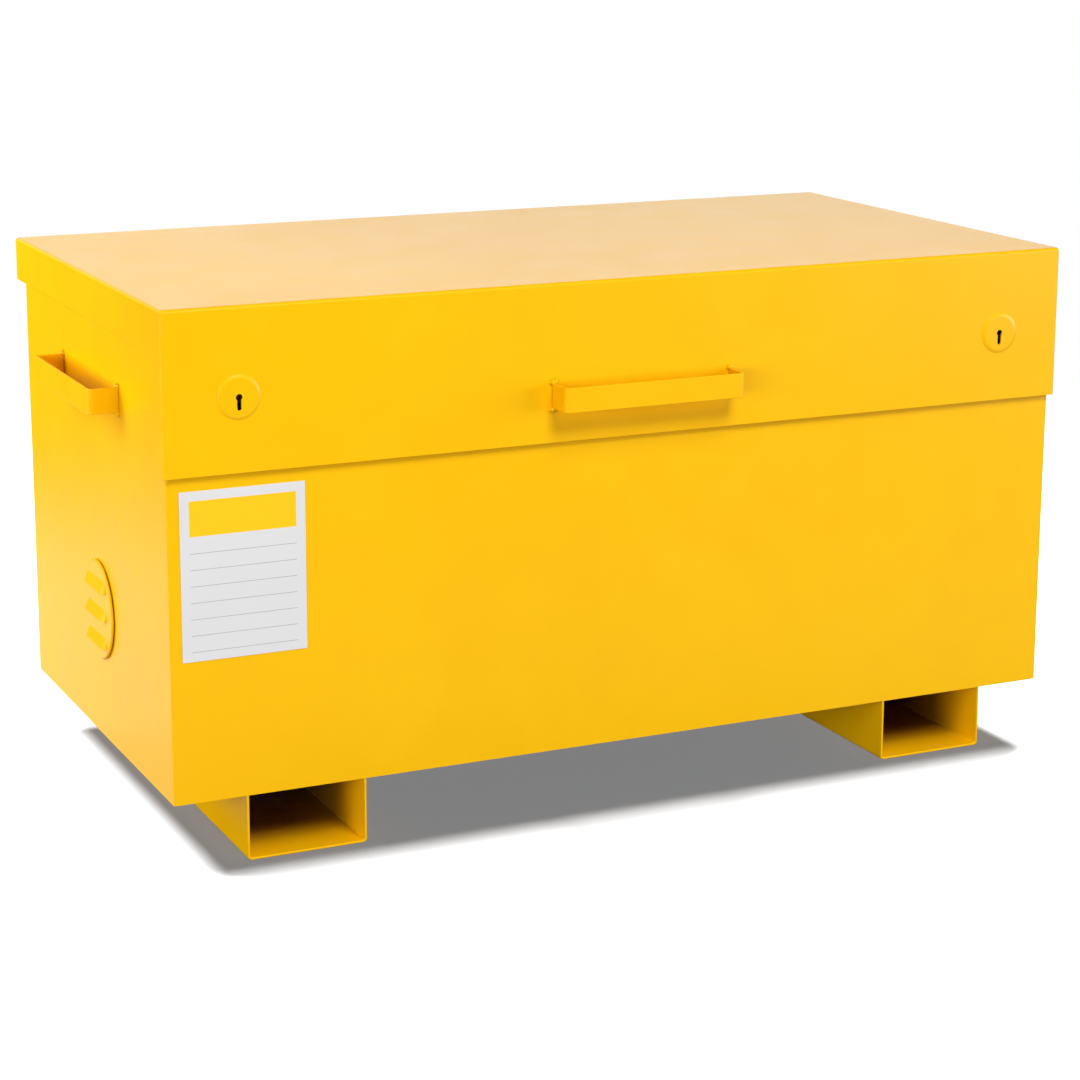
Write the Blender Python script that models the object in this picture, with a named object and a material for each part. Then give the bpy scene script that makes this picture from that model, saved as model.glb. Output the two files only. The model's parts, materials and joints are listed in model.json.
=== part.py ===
"""Steel chemical storage box: a welded body on fork skids under a deep-fronted hinged lid.

Metres, +Z up, front towards -Y. The origin is the middle of the footprint, on the floor.
"""
import math

import bmesh
import bpy
from mathutils import Matrix, Vector

# Sheet metal and fits
SHEET = 0.002
BEND = 0.003
BEND_STEPS = 3
TURN_STEPS = 24
ROUND_STEPS = 3
FIT = 0.0003
RUN = 0.0003

# Body
BODY_WIDTH = 1.265
BODY_DEPTH = 0.629
BOX_HEIGHT = 0.700
STILE = 0.025
RIM = 0.015
FRONT_RIM = 0.028
FRONT_LAP = 0.040
SUMP_HEIGHT = 0.060

# Fork skids
SKID_HEIGHT = 0.085
SKID_WIDTH = 0.1585
SKID_INSET = 0.0935
SKID_WALL = 0.003
SKID_BEND = 0.005

# Lid
LID_SIDE_GAP = 0.003
LID_FRONT_GAP = 0.0067
LID_SKIRT = 0.058
LID_FRONT_DROP = 0.204
LID_RETURN = 0.043
BUFFER_THICK = 0.006
BUFFER_WIDTH = 0.009
BUFFER_LENGTH = 0.045
BUFFER_SETBACK = 0.060
STIFFENER_INSET = 0.3275
STIFFENER_BASE = 0.050
STIFFENER_DEPTH = 0.020
STIFFENER_FLANGE = 0.018
STIFFENER_SETBACK = 0.045

# Strap handles
HANDLE_LENGTH = 0.257
HANDLE_REACH = 0.040
HANDLE_STRAP = 0.032
HANDLE_THICK = 0.004
HANDLE_BEND = 0.008
FRONT_HANDLE_RISE = 0.061
SIDE_HANDLE_DROP = 0.085

# Side vents
VENT_RADIUS = 0.066
VENT_HOLE = 0.054
VENT_SHEET = 0.0015
VENT_RISE = 0.173
VENT_FORWARD = 0.0136
GASKET_THICK = 0.003
GASKET_SETBACK = 0.002
LOUVRE_COUNT = 3
LOUVRE_LENGTH = 0.086
LOUVRE_HEIGHT = 0.016
LOUVRE_DEPTH = 0.006
LOUVRE_PITCH = 0.0345
LOUVRE_GAPE = 0.003

# Label
LABEL_WIDTH = 0.160
LABEL_HEIGHT = 0.212
LABEL_THICK = 0.0005
LABEL_INSET = 0.0155
LABEL_DROP = 0.0187

# Locks
LOCK_INSET = 0.0955
LOCK_RISE = 0.093
ROSE_RADIUS = 0.028
ROSE_HEIGHT = 0.004
ROSE_ROUND = 0.003
KEYHOLE_RADIUS = 0.0047
KEYHOLE_SLOT = 0.0066
KEYHOLE_DROP = 0.0175
KEYHOLE_MARGIN = 0.0025
CASE_INNER = 0.030
CASE_OUTER = 0.058
CASE_HALF_HEIGHT = 0.040
CASE_DEPTH = 0.025
CASE_WALL = 0.0015
CASE_BEND = 0.003
CURTAIN_RADIUS = 0.010
BOLT_CLEARANCE = 0.0013
BOLT_THICK = 0.010
BOLT_TAIL = 0.004
BOLT_HEIGHT = 0.024
BOLT_RISE = 0.012
BOLT_HEAD_LENGTH = 0.020
BOLT_TAIL_REACH = 0.020
BOLT_THROW = 0.016
KEEPER_THICK = 0.003
KEEPER_BACK = 0.011
KEEPER_LUG = 0.014
KEEPER_PLAY = 0.0012
LEVER_COUNT = 5
LEVER_THICK = 0.0016
LEVER_SPACE = 0.0005
LEVER_LENGTH = 0.046
LEVER_HEIGHT = 0.023
LEVER_PIVOT_RADIUS = 0.004
LEVER_PIVOT_INSET = 0.008

# Hinges
HINGE_COUNT = 3
HINGE_INSET = 0.1825
HINGE_LENGTH = 0.100
HINGE_RISE = 0.006
KNUCKLE_RADIUS = 0.010
KNUCKLE_GAP = 0.001
KNUCKLE_WELD = 0.0005
LEAF_THICK = 0.004
LEAF_HEIGHT = 0.044
PIN_RADIUS = 0.006
PIN_HEAD = 0.003
PIN_HEAD_LIP = 0.002

# Gas struts
STRUT_ARM = 0.300
STRUT_HEAD_RISE = 0.025
STRUT_SPREAD = math.radians(75)
STRUT_INSET = 0.0275
TUBE_RADIUS = 0.009
TUBE_WALL = 0.0015
TUBE_FLOOR = 0.006
ROD_RADIUS = 0.004
ROD_SHOWING = 0.060
PISTON_LENGTH = 0.010
PISTON_REST_GAP = 0.003
GLAND_LENGTH = 0.012
EYE_RADIUS = 0.009
EYE_WIDTH = 0.010
EYE_NECK = 0.007
STUD_RADIUS = 0.004
STUD_COLLAR = 0.0055
STUD_HEAD = 0.003
STRUT_PLATE = 0.036
STRUT_PLATE_THICK = 0.003
STRUT_PLATE_BEND = 0.006
STRUT_HEAD_STANDOFF = 0.008
STRUT_LEG_MARGIN = 0.012

# Places worked out from the sizes above
LID_REAR_GAP = 2 * (KNUCKLE_RADIUS + LEAF_THICK - KNUCKLE_WELD + FIT)
LID_WIDTH = BODY_WIDTH + 2 * (LID_SIDE_GAP + SHEET)
LID_DEPTH = BODY_DEPTH + LID_FRONT_GAP + LID_REAR_GAP + 2 * SHEET
LID_FRONT_Y = (HANDLE_REACH - LID_DEPTH) / 2
LID_REAR_Y = LID_FRONT_Y + LID_DEPTH
BODY_FRONT_Y = LID_FRONT_Y + SHEET + LID_FRONT_GAP
BODY_REAR_Y = BODY_FRONT_Y + BODY_DEPTH
BODY_MID_Y = (BODY_FRONT_Y + BODY_REAR_Y) / 2
BODY_SIDE_X = BODY_WIDTH / 2
WALL_X = BODY_SIDE_X - SHEET
BASE_Z = SKID_HEIGHT
LID_BOTTOM_Z = BOX_HEIGHT - LID_FRONT_DROP
SKIRT_Z = BOX_HEIGHT - LID_SKIRT
CEILING_Z = BOX_HEIGHT - SHEET
RIM_Z = CEILING_Z - BUFFER_THICK - 2 * FIT
FRONT_TOP_Z = LID_BOTTOM_Z + FRONT_LAP
PANEL_X = BODY_SIDE_X - STILE - FIT
HINGE_SPACING = 2 * (BODY_SIDE_X - HINGE_INSET) / (HINGE_COUNT - 1)
HINGE_Y = BODY_REAR_Y + LID_REAR_GAP / 2
HINGE_Z = SKIRT_Z + HINGE_RISE
VENT_Y = BODY_MID_Y - VENT_FORWARD
VENT_Z = BASE_Z + VENT_RISE
LOCK_X = LID_WIDTH / 2 - LOCK_INSET
LOCK_Z = LID_BOTTOM_Z + LOCK_RISE
CASE_FRONT_Y = LID_FRONT_Y + SHEET + FIT
CASE_BACK_Y = CASE_FRONT_Y + CASE_DEPTH
COVER_Y = CASE_BACK_Y + FIT
BOLT_Y = BODY_FRONT_Y + SHEET + BOLT_CLEARANCE
BOLT_Z = LOCK_Z + BOLT_RISE
STRUT_X = WALL_X - STRUT_INSET
HEAD_ANGLE = math.asin(STRUT_HEAD_RISE / STRUT_ARM)
STRUT_CLOSED = 2 * STRUT_ARM * math.sin(STRUT_SPREAD / 2)
TUBE_END = STRUT_CLOSED - EYE_RADIUS - ROD_SHOWING
ROD_END = STRUT_CLOSED - EYE_NECK - TUBE_FLOOR - PISTON_REST_GAP
BORE_RADIUS = TUBE_RADIUS - TUBE_WALL

SIDES = (("left", -1), ("right", 1))
INTO = {-1: math.radians(90), 1: math.radians(-90)}


def finish(name, colour, roughness, metallic):
    """A plain surface finish."""
    material = bpy.data.materials.new(name)
    material.use_nodes = True
    shader = material.node_tree.nodes["Principled BSDF"]
    shader.inputs["Base Color"].default_value = (*colour, 1.0)
    shader.inputs["Roughness"].default_value = roughness
    shader.inputs["Metallic"].default_value = metallic
    material.diffuse_color = (*colour, 1.0)
    return material


def add_object(name, bm, material, smooth=False):
    """Turns a bmesh into a named object with its finish."""
    mesh = bpy.data.meshes.new(name)
    bm.to_mesh(mesh)
    bm.free()
    if smooth:
        mesh.shade_smooth()
        mesh.set_sharp_from_angle(angle=math.radians(35))
    mesh.materials.append(material)
    item = bpy.data.objects.new(name, mesh)
    bpy.context.scene.collection.objects.link(item)
    return item


def axis_empty(name, place):
    """An empty on a joint's axis, which carries the pieces that move there."""
    empty = bpy.data.objects.new(name, None)
    empty.location = place
    bpy.context.scene.collection.objects.link(empty)
    return empty


def carry(item, empty):
    """Parents a piece to an axis empty without moving it."""
    item.parent = empty
    item.matrix_parent_inverse = Matrix.Translation(-Vector(empty.location))


def combine(target, tool, operation):
    """Joins a tool shape to a piece or cuts it away, and hides the tool."""
    tool.hide_render = True
    tool.display_type = "WIRE"
    modifier = target.modifiers.new(tool.name, "BOOLEAN")
    modifier.operation = operation
    modifier.solver = "EXACT"
    modifier.object = tool


def folded_sheet(name, corners, faces, folds, facing, bend, thickness, material):
    """A sheet drawn by its outer faces, folded to a radius and thickened inwards.

    The first face looks along facing, and the others follow round the folds.
    """
    bm = bmesh.new()
    verts = {key: bm.verts.new(place) for key, place in corners.items()}
    for keys in faces:
        bm.faces.new([verts[key] for key in keys])
    bm.faces.ensure_lookup_table()
    bmesh.ops.recalc_face_normals(bm, faces=bm.faces)
    bm.normal_update()
    if bm.faces[0].normal.dot(Vector(facing)) < 0:
        bmesh.ops.reverse_faces(bm, faces=bm.faces)
    edges = [bm.edges.get((verts[a], verts[b])) for a, b in folds]
    bmesh.ops.bevel(bm, geom=edges, offset=bend, offset_type="OFFSET", segments=BEND_STEPS,
                    profile=0.5, affect="EDGES", clamp_overlap=True, material=-1)
    item = add_object(name, bm, material)
    wall = item.modifiers.new("Sheet", "SOLIDIFY")
    wall.thickness = thickness
    wall.offset = -1
    wall.use_even_offset = True
    wall.use_quality_normals = True
    return item


def turned(name, profile, material, ring=False, steps=TURN_STEPS):
    """A round piece spun about its own Z axis from (radius, height) points."""
    bm = bmesh.new()
    verts = [bm.verts.new((radius, 0, height)) for radius, height in profile]
    pairs = list(zip(verts, verts[1:]))
    if ring:
        pairs.append((verts[-1], verts[0]))
    edges = [bm.edges.new(pair) for pair in pairs]
    bmesh.ops.spin(bm, geom=verts + edges, cent=(0, 0, 0), axis=(0, 0, 1), angle=2 * math.pi,
                   steps=steps, use_merge=True)
    bmesh.ops.remove_doubles(bm, verts=bm.verts, dist=1e-6)
    bmesh.ops.recalc_face_normals(bm, faces=bm.faces)
    return add_object(name, bm, material, smooth=True)


def bar(name, radius, start, end, material):
    """A plain round bar from one height to another along its own Z axis."""
    return turned(name, [(0, start), (radius, start), (radius, end), (0, end)], material)


def block(name, first, second, material):
    """A rectangular block between two opposite corners."""
    low = Vector(min(pair) for pair in zip(first, second))
    high = Vector(max(pair) for pair in zip(first, second))
    bm = bmesh.new()
    bmesh.ops.create_cube(bm, size=1.0)
    bmesh.ops.scale(bm, vec=high - low, verts=bm.verts)
    bmesh.ops.translate(bm, vec=(low + high) / 2, verts=bm.verts)
    return add_object(name, bm, material)


def extruded(name, outline, start, end, lay, material):
    """A flat outline, laid in space by a function of (u, v, depth), given a thickness."""
    bm = bmesh.new()
    face = bm.faces.new([bm.verts.new(lay(u, v, start)) for u, v in outline])
    grown = bmesh.ops.extrude_face_region(bm, geom=[face])
    moved = [part for part in grown["geom"] if isinstance(part, bmesh.types.BMVert)]
    step = Vector(lay(0, 0, end)) - Vector(lay(0, 0, start))
    bmesh.ops.translate(bm, vec=step, verts=moved)
    bmesh.ops.recalc_face_normals(bm, faces=bm.faces)
    return add_object(name, bm, material)


def side_panel(side, sign, paint):
    """Full-height pan with stiles at both ends, a top flange and a round vent hole."""
    x = sign * BODY_SIDE_X
    rim_x = x - sign * RIM
    stile_x = x - sign * STILE
    front, rear = BODY_FRONT_Y, BODY_REAR_Y
    corners = {
        "fb": (x, front, BASE_Z), "ft": (x, front, RIM_Z),
        "rb": (x, rear, BASE_Z), "rt": (x, rear, RIM_Z),
        "fti": (rim_x, front, RIM_Z), "rti": (rim_x, rear, RIM_Z),
        "fbs": (stile_x, front, BASE_Z), "fts": (stile_x, front, RIM_Z),
        "rbs": (stile_x, rear, BASE_Z), "rts": (stile_x, rear, RIM_Z),
    }
    faces = [("fb", "rb", "rt", "ft"), ("ft", "rt", "rti", "fti"),
             ("fb", "ft", "fti", "fts", "fbs"), ("rb", "rt", "rti", "rts", "rbs")]
    folds = [("fb", "ft"), ("rb", "rt"), ("ft", "rt"), ("ft", "fti"), ("rt", "rti")]
    panel = folded_sheet(f"side_panel_{side}", corners, faces, folds, (sign, 0, 0), BEND, SHEET, paint)
    hole = bar(f"vent_hole_{side}", VENT_HOLE, -RIM, RIM, paint)
    hole.location = (x, VENT_Y, VENT_Z)
    hole.rotation_euler = (0, INTO[sign], 0)
    combine(panel, hole, "DIFFERENCE")


def front_panel(paint):
    """Low front sheet between the stiles, with its top edge folded inwards."""
    y, inner = BODY_FRONT_Y, BODY_FRONT_Y + FRONT_RIM
    corners = {
        "lb": (-PANEL_X, y, BASE_Z), "rb": (PANEL_X, y, BASE_Z),
        "lt": (-PANEL_X, y, FRONT_TOP_Z), "rt": (PANEL_X, y, FRONT_TOP_Z),
        "li": (-PANEL_X, inner, FRONT_TOP_Z), "ri": (PANEL_X, inner, FRONT_TOP_Z),
    }
    faces = [("lb", "rb", "rt", "lt"), ("lt", "rt", "ri", "li")]
    folded_sheet("front_panel", corners, faces, [("lt", "rt")], (0, -1, 0), BEND, SHEET, paint)


def rear_panel(paint):
    """Full-height rear sheet between the stiles, with its top edge folded inwards."""
    y, inner = BODY_REAR_Y, BODY_REAR_Y - RIM
    corners = {
        "lb": (-PANEL_X, y, BASE_Z), "rb": (PANEL_X, y, BASE_Z),
        "lt": (-PANEL_X, y, RIM_Z), "rt": (PANEL_X, y, RIM_Z),
        "li": (-PANEL_X, inner, RIM_Z), "ri": (PANEL_X, inner, RIM_Z),
    }
    faces = [("lb", "rb", "rt", "lt"), ("lt", "rt", "ri", "li")]
    folded_sheet("rear_panel", corners, faces, [("lt", "rt")], (0, 1, 0), BEND, SHEET, paint)


def floor_tray(paint):
    """Sump floor with welded upstands that stand inside the four walls."""
    x = WALL_X - FIT
    front = BODY_FRONT_Y + SHEET + FIT
    rear = BODY_REAR_Y - SHEET - FIT
    low, high = BASE_Z, BASE_Z + SUMP_HEIGHT
    ring = (("lf", -x, front), ("rf", x, front), ("rr", x, rear), ("lr", -x, rear))
    corners = {key + "b": (px, py, low) for key, px, py in ring}
    corners.update({key + "t": (px, py, high) for key, px, py in ring})
    names = [key for key, px, py in ring]
    faces = [tuple(key + "b" for key in names)]
    folds = [(key + "b", key + "t") for key in names]
    for here, there in zip(names, names[1:] + names[:1]):
        faces.append((here + "b", there + "b", there + "t", here + "t"))
        folds.append((here + "b", there + "b"))
    folded_sheet("floor_tray", corners, faces, folds, (0, 0, -1), BEND, SHEET, paint)


def fork_skid(side, sign, paint):
    """Open channel under the floor, flush with the body's front and rear."""
    outer = BODY_SIDE_X - SKID_INSET
    left, right = sorted((sign * outer, sign * (outer - SKID_WIDTH)))
    top = BASE_Z - FIT
    corners = {}
    for end, y in (("f", BODY_FRONT_Y), ("r", BODY_REAR_Y)):
        corners[end + "lt"] = (left, y, top)
        corners[end + "lb"] = (left, y, 0)
        corners[end + "rb"] = (right, y, 0)
        corners[end + "rt"] = (right, y, top)
    faces = [("flb", "frb", "rrb", "rlb"), ("flt", "flb", "rlb", "rlt"), ("frt", "frb", "rrb", "rrt")]
    folds = [("flb", "rlb"), ("frb", "rrb")]
    folded_sheet(f"skid_{side}", corners, faces, folds, (0, 0, -1), SKID_BEND, SKID_WALL, paint)


def strap_handle(name, centre, out, along, paint):
    """Flat strap bent square into a U, its feet welded to a panel."""
    centre, out, along = Vector(centre), Vector(out), Vector(along)
    up = Vector((0, 0, 1))
    corners = {}
    for end, shift in (("a", -HANDLE_LENGTH / 2), ("b", HANDLE_LENGTH / 2)):
        for level, lift in (("l", -HANDLE_STRAP / 2), ("h", HANDLE_STRAP / 2)):
            place = centre + along * shift + up * lift
            corners[end + level + "foot"] = place + out * FIT
            corners[end + level + "face"] = place + out * HANDLE_REACH
    faces = [("alface", "ahface", "bhface", "blface"),
             ("alfoot", "ahfoot", "ahface", "alface"),
             ("blfoot", "bhfoot", "bhface", "blface")]
    folds = [("alface", "ahface"), ("blface", "bhface")]
    return folded_sheet(name, corners, faces, folds, out, HANDLE_BEND, HANDLE_THICK, paint)


def louvre_pod(name, length, half_height, depth, material):
    """A bar with rounded ends along X, flattened to the given depth."""
    straight = length / 2 - half_height
    profile = [(0, -length / 2)]
    for step in range(1, ROUND_STEPS + 1):
        angle = math.pi / 2 * step / ROUND_STEPS
        profile.append((half_height * math.sin(angle), -straight - half_height * math.cos(angle)))
    profile += [(radius, -height) for radius, height in reversed(profile)]
    pod = turned(name, profile, material, steps=TURN_STEPS // 2)
    turn = Matrix.Rotation(math.radians(90), 4, "Y")
    flatten = Matrix.Diagonal((1, 1, depth / half_height, 1))
    pod.data.transform(flatten @ turn)
    return pod


def vent(side, sign, paint, rubber):
    """Round louvred cover on a set-back rubber gasket over the hole in a side panel."""
    face_x = sign * BODY_SIDE_X
    lay = Matrix(((0, 0, sign), (sign, 0, 0), (0, 1, 0))).to_euler()

    ring = [(VENT_HOLE, FIT), (VENT_RADIUS - GASKET_SETBACK, FIT),
            (VENT_RADIUS - GASKET_SETBACK, GASKET_THICK), (VENT_HOLE, GASKET_THICK)]
    gasket = turned(f"vent_gasket_{side}", ring, rubber, ring=True)
    gasket.location = (face_x, VENT_Y, VENT_Z)
    gasket.rotation_euler = lay

    back = GASKET_THICK + FIT
    disc = bar(f"vent_disc_{side}", VENT_RADIUS, back, back + VENT_SHEET, paint)
    disc.location = gasket.location
    disc.rotation_euler = lay
    hollow_half = LOUVRE_HEIGHT / 2 - VENT_SHEET
    hollow_length = LOUVRE_LENGTH - 2 * VENT_SHEET
    out = Vector((sign, 0, 0))
    for row in range(LOUVRE_COUNT):
        rise = (row - (LOUVRE_COUNT - 1) / 2) * LOUVRE_PITCH
        seat = Vector((face_x, VENT_Y, VENT_Z + rise)) + out * (back + VENT_SHEET / 2)
        pod = louvre_pod(f"louvre_{side}_{row}", LOUVRE_LENGTH, LOUVRE_HEIGHT / 2, LOUVRE_DEPTH, paint)
        pod.location = seat
        pod.rotation_euler = lay
        trim = block(f"louvre_trim_{side}_{row}", (-LOUVRE_LENGTH, -LOUVRE_HEIGHT, -2 * LOUVRE_DEPTH),
                     (LOUVRE_LENGTH, LOUVRE_HEIGHT, 0), paint)
        trim.location = seat
        trim.rotation_euler = lay
        combine(pod, trim, "DIFFERENCE")
        combine(disc, pod, "UNION")
        hollow = louvre_pod(f"louvre_hollow_{side}_{row}", hollow_length, hollow_half,
                            LOUVRE_DEPTH - VENT_SHEET, paint)
        hollow.location = seat - Vector((0, 0, LOUVRE_GAPE))
        hollow.rotation_euler = lay
        combine(disc, hollow, "DIFFERENCE")


def blank_label(vinyl):
    """Plain stuck-on label at the left of the front."""
    left = -BODY_SIDE_X + LABEL_INSET
    top = LID_BOTTOM_Z - LABEL_DROP
    back = BODY_FRONT_Y - FIT
    block("blank_label", (left, back, top), (left + LABEL_WIDTH, back - LABEL_THICK, top - LABEL_HEIGHT),
          vinyl)


def lid_buffer(side, sign, rubber):
    """Rubber pad on the side panel's top flange, just under the closed lid."""
    outer = sign * (BODY_SIDE_X - BEND)
    front = BODY_FRONT_Y + BUFFER_SETBACK
    low = RIM_Z + FIT
    block(f"lid_buffer_{side}", (outer, front, low),
          (outer - sign * BUFFER_WIDTH, front + BUFFER_LENGTH, low + BUFFER_THICK), rubber)


def lid_shell(paint):
    """Top, deep front, skirts and front returns, with a round hole behind each lock rose."""
    w, front, rear = LID_WIDTH / 2, LID_FRONT_Y, LID_REAR_Y
    back = front + LID_RETURN
    corners = {}
    for end, x in (("l", -w), ("r", w)):
        corners[end + "ft"] = (x, front, BOX_HEIGHT)
        corners[end + "fb"] = (x, front, LID_BOTTOM_Z)
        corners[end + "qb"] = (x, back, LID_BOTTOM_Z)
        corners[end + "qs"] = (x, back, SKIRT_Z)
        corners[end + "rs"] = (x, rear, SKIRT_Z)
        corners[end + "rt"] = (x, rear, BOX_HEIGHT)
    faces = [("lft", "rft", "rrt", "lrt"), ("lft", "rft", "rfb", "lfb"), ("lrt", "rrt", "rrs", "lrs")]
    folds = [("lft", "rft"), ("lrt", "rrt")]
    for end in "lr":
        faces.append(tuple(end + key for key in ("ft", "fb", "qb", "qs", "rs", "rt")))
        folds += [(end + "ft", end + "rt"), (end + "ft", end + "fb"), (end + "rt", end + "rs")]
    shell = folded_sheet("lid_shell", corners, faces, folds, (0, 0, 1), BEND, SHEET, paint)
    for side, sign in SIDES:
        hole = bar(f"lock_hole_{side}", KEYHOLE_DROP + KEYHOLE_MARGIN, -LID_FRONT_GAP, LID_FRONT_GAP, paint)
        hole.location = (sign * LOCK_X, LID_FRONT_Y, LOCK_Z)
        hole.rotation_euler = (math.radians(90), 0, 0)
        combine(shell, hole, "DIFFERENCE")
    return shell


def lid_stiffener(side, sign, paint):
    """Hat channel from front to rear under the lid's top."""
    middle = sign * (LID_WIDTH / 2 - STIFFENER_INSET)
    top = CEILING_Z - FIT - SHEET
    low = CEILING_Z - FIT - STIFFENER_DEPTH
    half = STIFFENER_BASE / 2
    stations = (("a", -half - STIFFENER_FLANGE, top), ("b", -half, top), ("c", -half, low),
                ("d", half, low), ("e", half, top), ("f", half + STIFFENER_FLANGE, top))
    corners = {}
    for end, y in (("1", LID_FRONT_Y + STIFFENER_SETBACK), ("2", BODY_REAR_Y - STIFFENER_SETBACK)):
        corners.update({key + end: (middle + x, y, z) for key, x, z in stations})
    faces = []
    for here, there in ("cd", "ab", "bc", "de", "ef"):
        faces.append((here + "1", there + "1", there + "2", here + "2"))
    folds = [(key + "1", key + "2") for key in "bcde"]
    return folded_sheet(f"lid_stiffener_{side}", corners, faces, folds, (0, 0, -1), BEND, SHEET, paint)


def keyhole_cutter(side, sign, material):
    """Keyhole shape right through the rose, the case front and the keyway barrel."""
    half = KEYHOLE_SLOT / 2
    start = -math.asin(half / KEYHOLE_RADIUS)
    sweep = 2 * math.pi + 2 * start
    steps = TURN_STEPS // 2
    outline = []
    for step in range(steps + 1):
        angle = start - math.pi / 2 + sweep * step / steps - 2 * start
        outline.append((KEYHOLE_RADIUS * math.cos(angle), KEYHOLE_RADIUS * math.sin(angle)))
    for step in range(steps // 2 + 1):
        angle = math.pi + math.pi * step / (steps // 2)
        outline.append((half * math.cos(angle), half - KEYHOLE_DROP + half * math.sin(angle)))
    front = LID_FRONT_Y - 2 * ROSE_HEIGHT

    def lay(u, v, depth):
        return (sign * LOCK_X + u, depth, LOCK_Z + v)

    return extruded(f"keyhole_{side}", outline, front, COVER_Y, lay, material)


def lock_rose(side, sign, paint):
    """Raised round disc with a rounded edge around the keyhole."""
    profile = [(0, FIT), (ROSE_RADIUS, FIT)]
    for step in range(ROUND_STEPS + 1):
        angle = math.pi / 2 * step / ROUND_STEPS
        profile.append((ROSE_RADIUS - ROSE_ROUND * (1 - math.cos(angle)),
                        ROSE_HEIGHT - ROSE_ROUND * (1 - math.sin(angle))))
    profile.append((0, ROSE_HEIGHT))
    rose = turned(f"lock_rose_{side}", profile, paint, steps=2 * TURN_STEPS)
    rose.location = (sign * LOCK_X, LID_FRONT_Y, LOCK_Z)
    rose.rotation_euler = (math.radians(90), 0, 0)
    return rose


def lock_case(side, sign, steel):
    """Open-backed lock box behind the lid's front, with a slot for the bolt."""
    inner = sign * (LOCK_X - CASE_INNER)
    outer = sign * (LOCK_X + CASE_OUTER)
    low, high = LOCK_Z - CASE_HALF_HEIGHT, LOCK_Z + CASE_HALF_HEIGHT
    ring = (("il", inner, low), ("ol", outer, low), ("oh", outer, high), ("ih", inner, high))
    corners = {key + "f": (x, CASE_FRONT_Y, z) for key, x, z in ring}
    corners.update({key + "b": (x, CASE_BACK_Y, z) for key, x, z in ring})
    names = [key for key, x, z in ring]
    faces = [tuple(key + "f" for key in names)]
    folds = [(key + "f", key + "b") for key in names]
    for here, there in zip(names, names[1:] + names[:1]):
        faces.append((here + "f", there + "f", there + "b", here + "b"))
        folds.append((here + "f", there + "f"))
    case = folded_sheet(f"lock_case_{side}", corners, faces, folds, (0, -1, 0), CASE_BEND, CASE_WALL, steel)
    slot = block(f"bolt_slot_{side}", (outer - sign * 2 * CASE_BEND, BOLT_Y - RUN, BOLT_Z - RUN),
                 (outer + sign * CASE_WALL, BOLT_Y + BOLT_THICK + RUN, BOLT_Z + BOLT_HEIGHT + RUN), steel)
    combine(case, slot, "DIFFERENCE")
    return case


def lock_cover(side, sign, steel):
    """Flat plate that closes the back of the lock box."""
    return block(f"lock_cover_{side}",
                 (sign * (LOCK_X - CASE_INNER), COVER_Y, LOCK_Z - CASE_HALF_HEIGHT),
                 (sign * (LOCK_X + CASE_OUTER), COVER_Y + CASE_WALL, LOCK_Z + CASE_HALF_HEIGHT), steel)


def lever_pack(side, sign, brass):
    """Flat levers stacked on one pivot behind the bolt's tail."""
    back = COVER_Y - FIT
    length = LEVER_COUNT * LEVER_THICK + (LEVER_COUNT - 1) * LEVER_SPACE
    inner = sign * (LOCK_X - BOLT_TAIL_REACH)
    low = BOLT_Z
    pivot_x = inner + sign * LEVER_PIVOT_INSET
    pivot_z = low + LEVER_HEIGHT / 2
    pack = bar(f"lever_pack_{side}", LEVER_PIVOT_RADIUS, 0, length, brass)
    pack.location = (pivot_x, back, pivot_z)
    pack.rotation_euler = (math.radians(90), 0, 0)
    for count in range(LEVER_COUNT):
        rear = back - count * (LEVER_THICK + LEVER_SPACE)
        lever = block(f"lever_{side}_{count}", (inner, rear, low),
                      (inner + sign * LEVER_LENGTH, rear - LEVER_THICK, low + LEVER_HEIGHT), brass)
        combine(pack, lever, "UNION")
    return pack


def lock_curtain(side, sign, brass):
    """Keyway barrel that the key turns, cut by the keyhole down to its rim."""
    start = CASE_FRONT_Y + CASE_WALL + FIT
    curtain = bar(f"lock_curtain_{side}", CURTAIN_RADIUS, 0, COVER_Y - FIT - start, brass)
    curtain.location = (sign * LOCK_X, COVER_Y - FIT, LOCK_Z)
    curtain.rotation_euler = (math.radians(90), 0, 0)
    return curtain


def lock_bolt(side, sign, steel):
    """Dead bolt with a thick head and a flat tail, withdrawn into the lock box."""
    head_out = LOCK_X + CASE_OUTER
    head_in = head_out - BOLT_HEAD_LENGTH
    tail_in = LOCK_X - BOLT_TAIL_REACH
    outline = [(tail_in, 0), (head_out, 0), (head_out, BOLT_THICK), (head_in, BOLT_THICK),
               (head_in, BOLT_TAIL), (tail_in, BOLT_TAIL)]

    def lay(u, v, depth):
        return (sign * u, BOLT_Y + v, depth)

    return extruded(f"lock_bolt_{side}", outline, BOLT_Z, BOLT_Z + BOLT_HEIGHT, lay, steel)


def lock_keeper(side, sign, steel):
    """Notched plate welded on edge behind the stile, which the thrown bolt enters."""
    front = BODY_FRONT_Y + SHEET + FIT
    notch = BOLT_Y + BOLT_THICK + KEEPER_PLAY
    back = notch + KEEPER_BACK
    notch_low = BOLT_Z - KEEPER_PLAY
    notch_high = BOLT_Z + BOLT_HEIGHT + KEEPER_PLAY
    low, high = notch_low - KEEPER_LUG, notch_high + KEEPER_LUG
    outline = [(front, low), (back, low), (back, high), (front, high),
               (front, notch_high), (notch, notch_high), (notch, notch_low), (front, notch_low)]
    start = BODY_SIDE_X - STILE

    def lay(u, v, depth):
        return (sign * depth, u, v)

    extruded(f"lock_keeper_{side}", outline, start, start + KEEPER_THICK, lay, steel)


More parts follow.
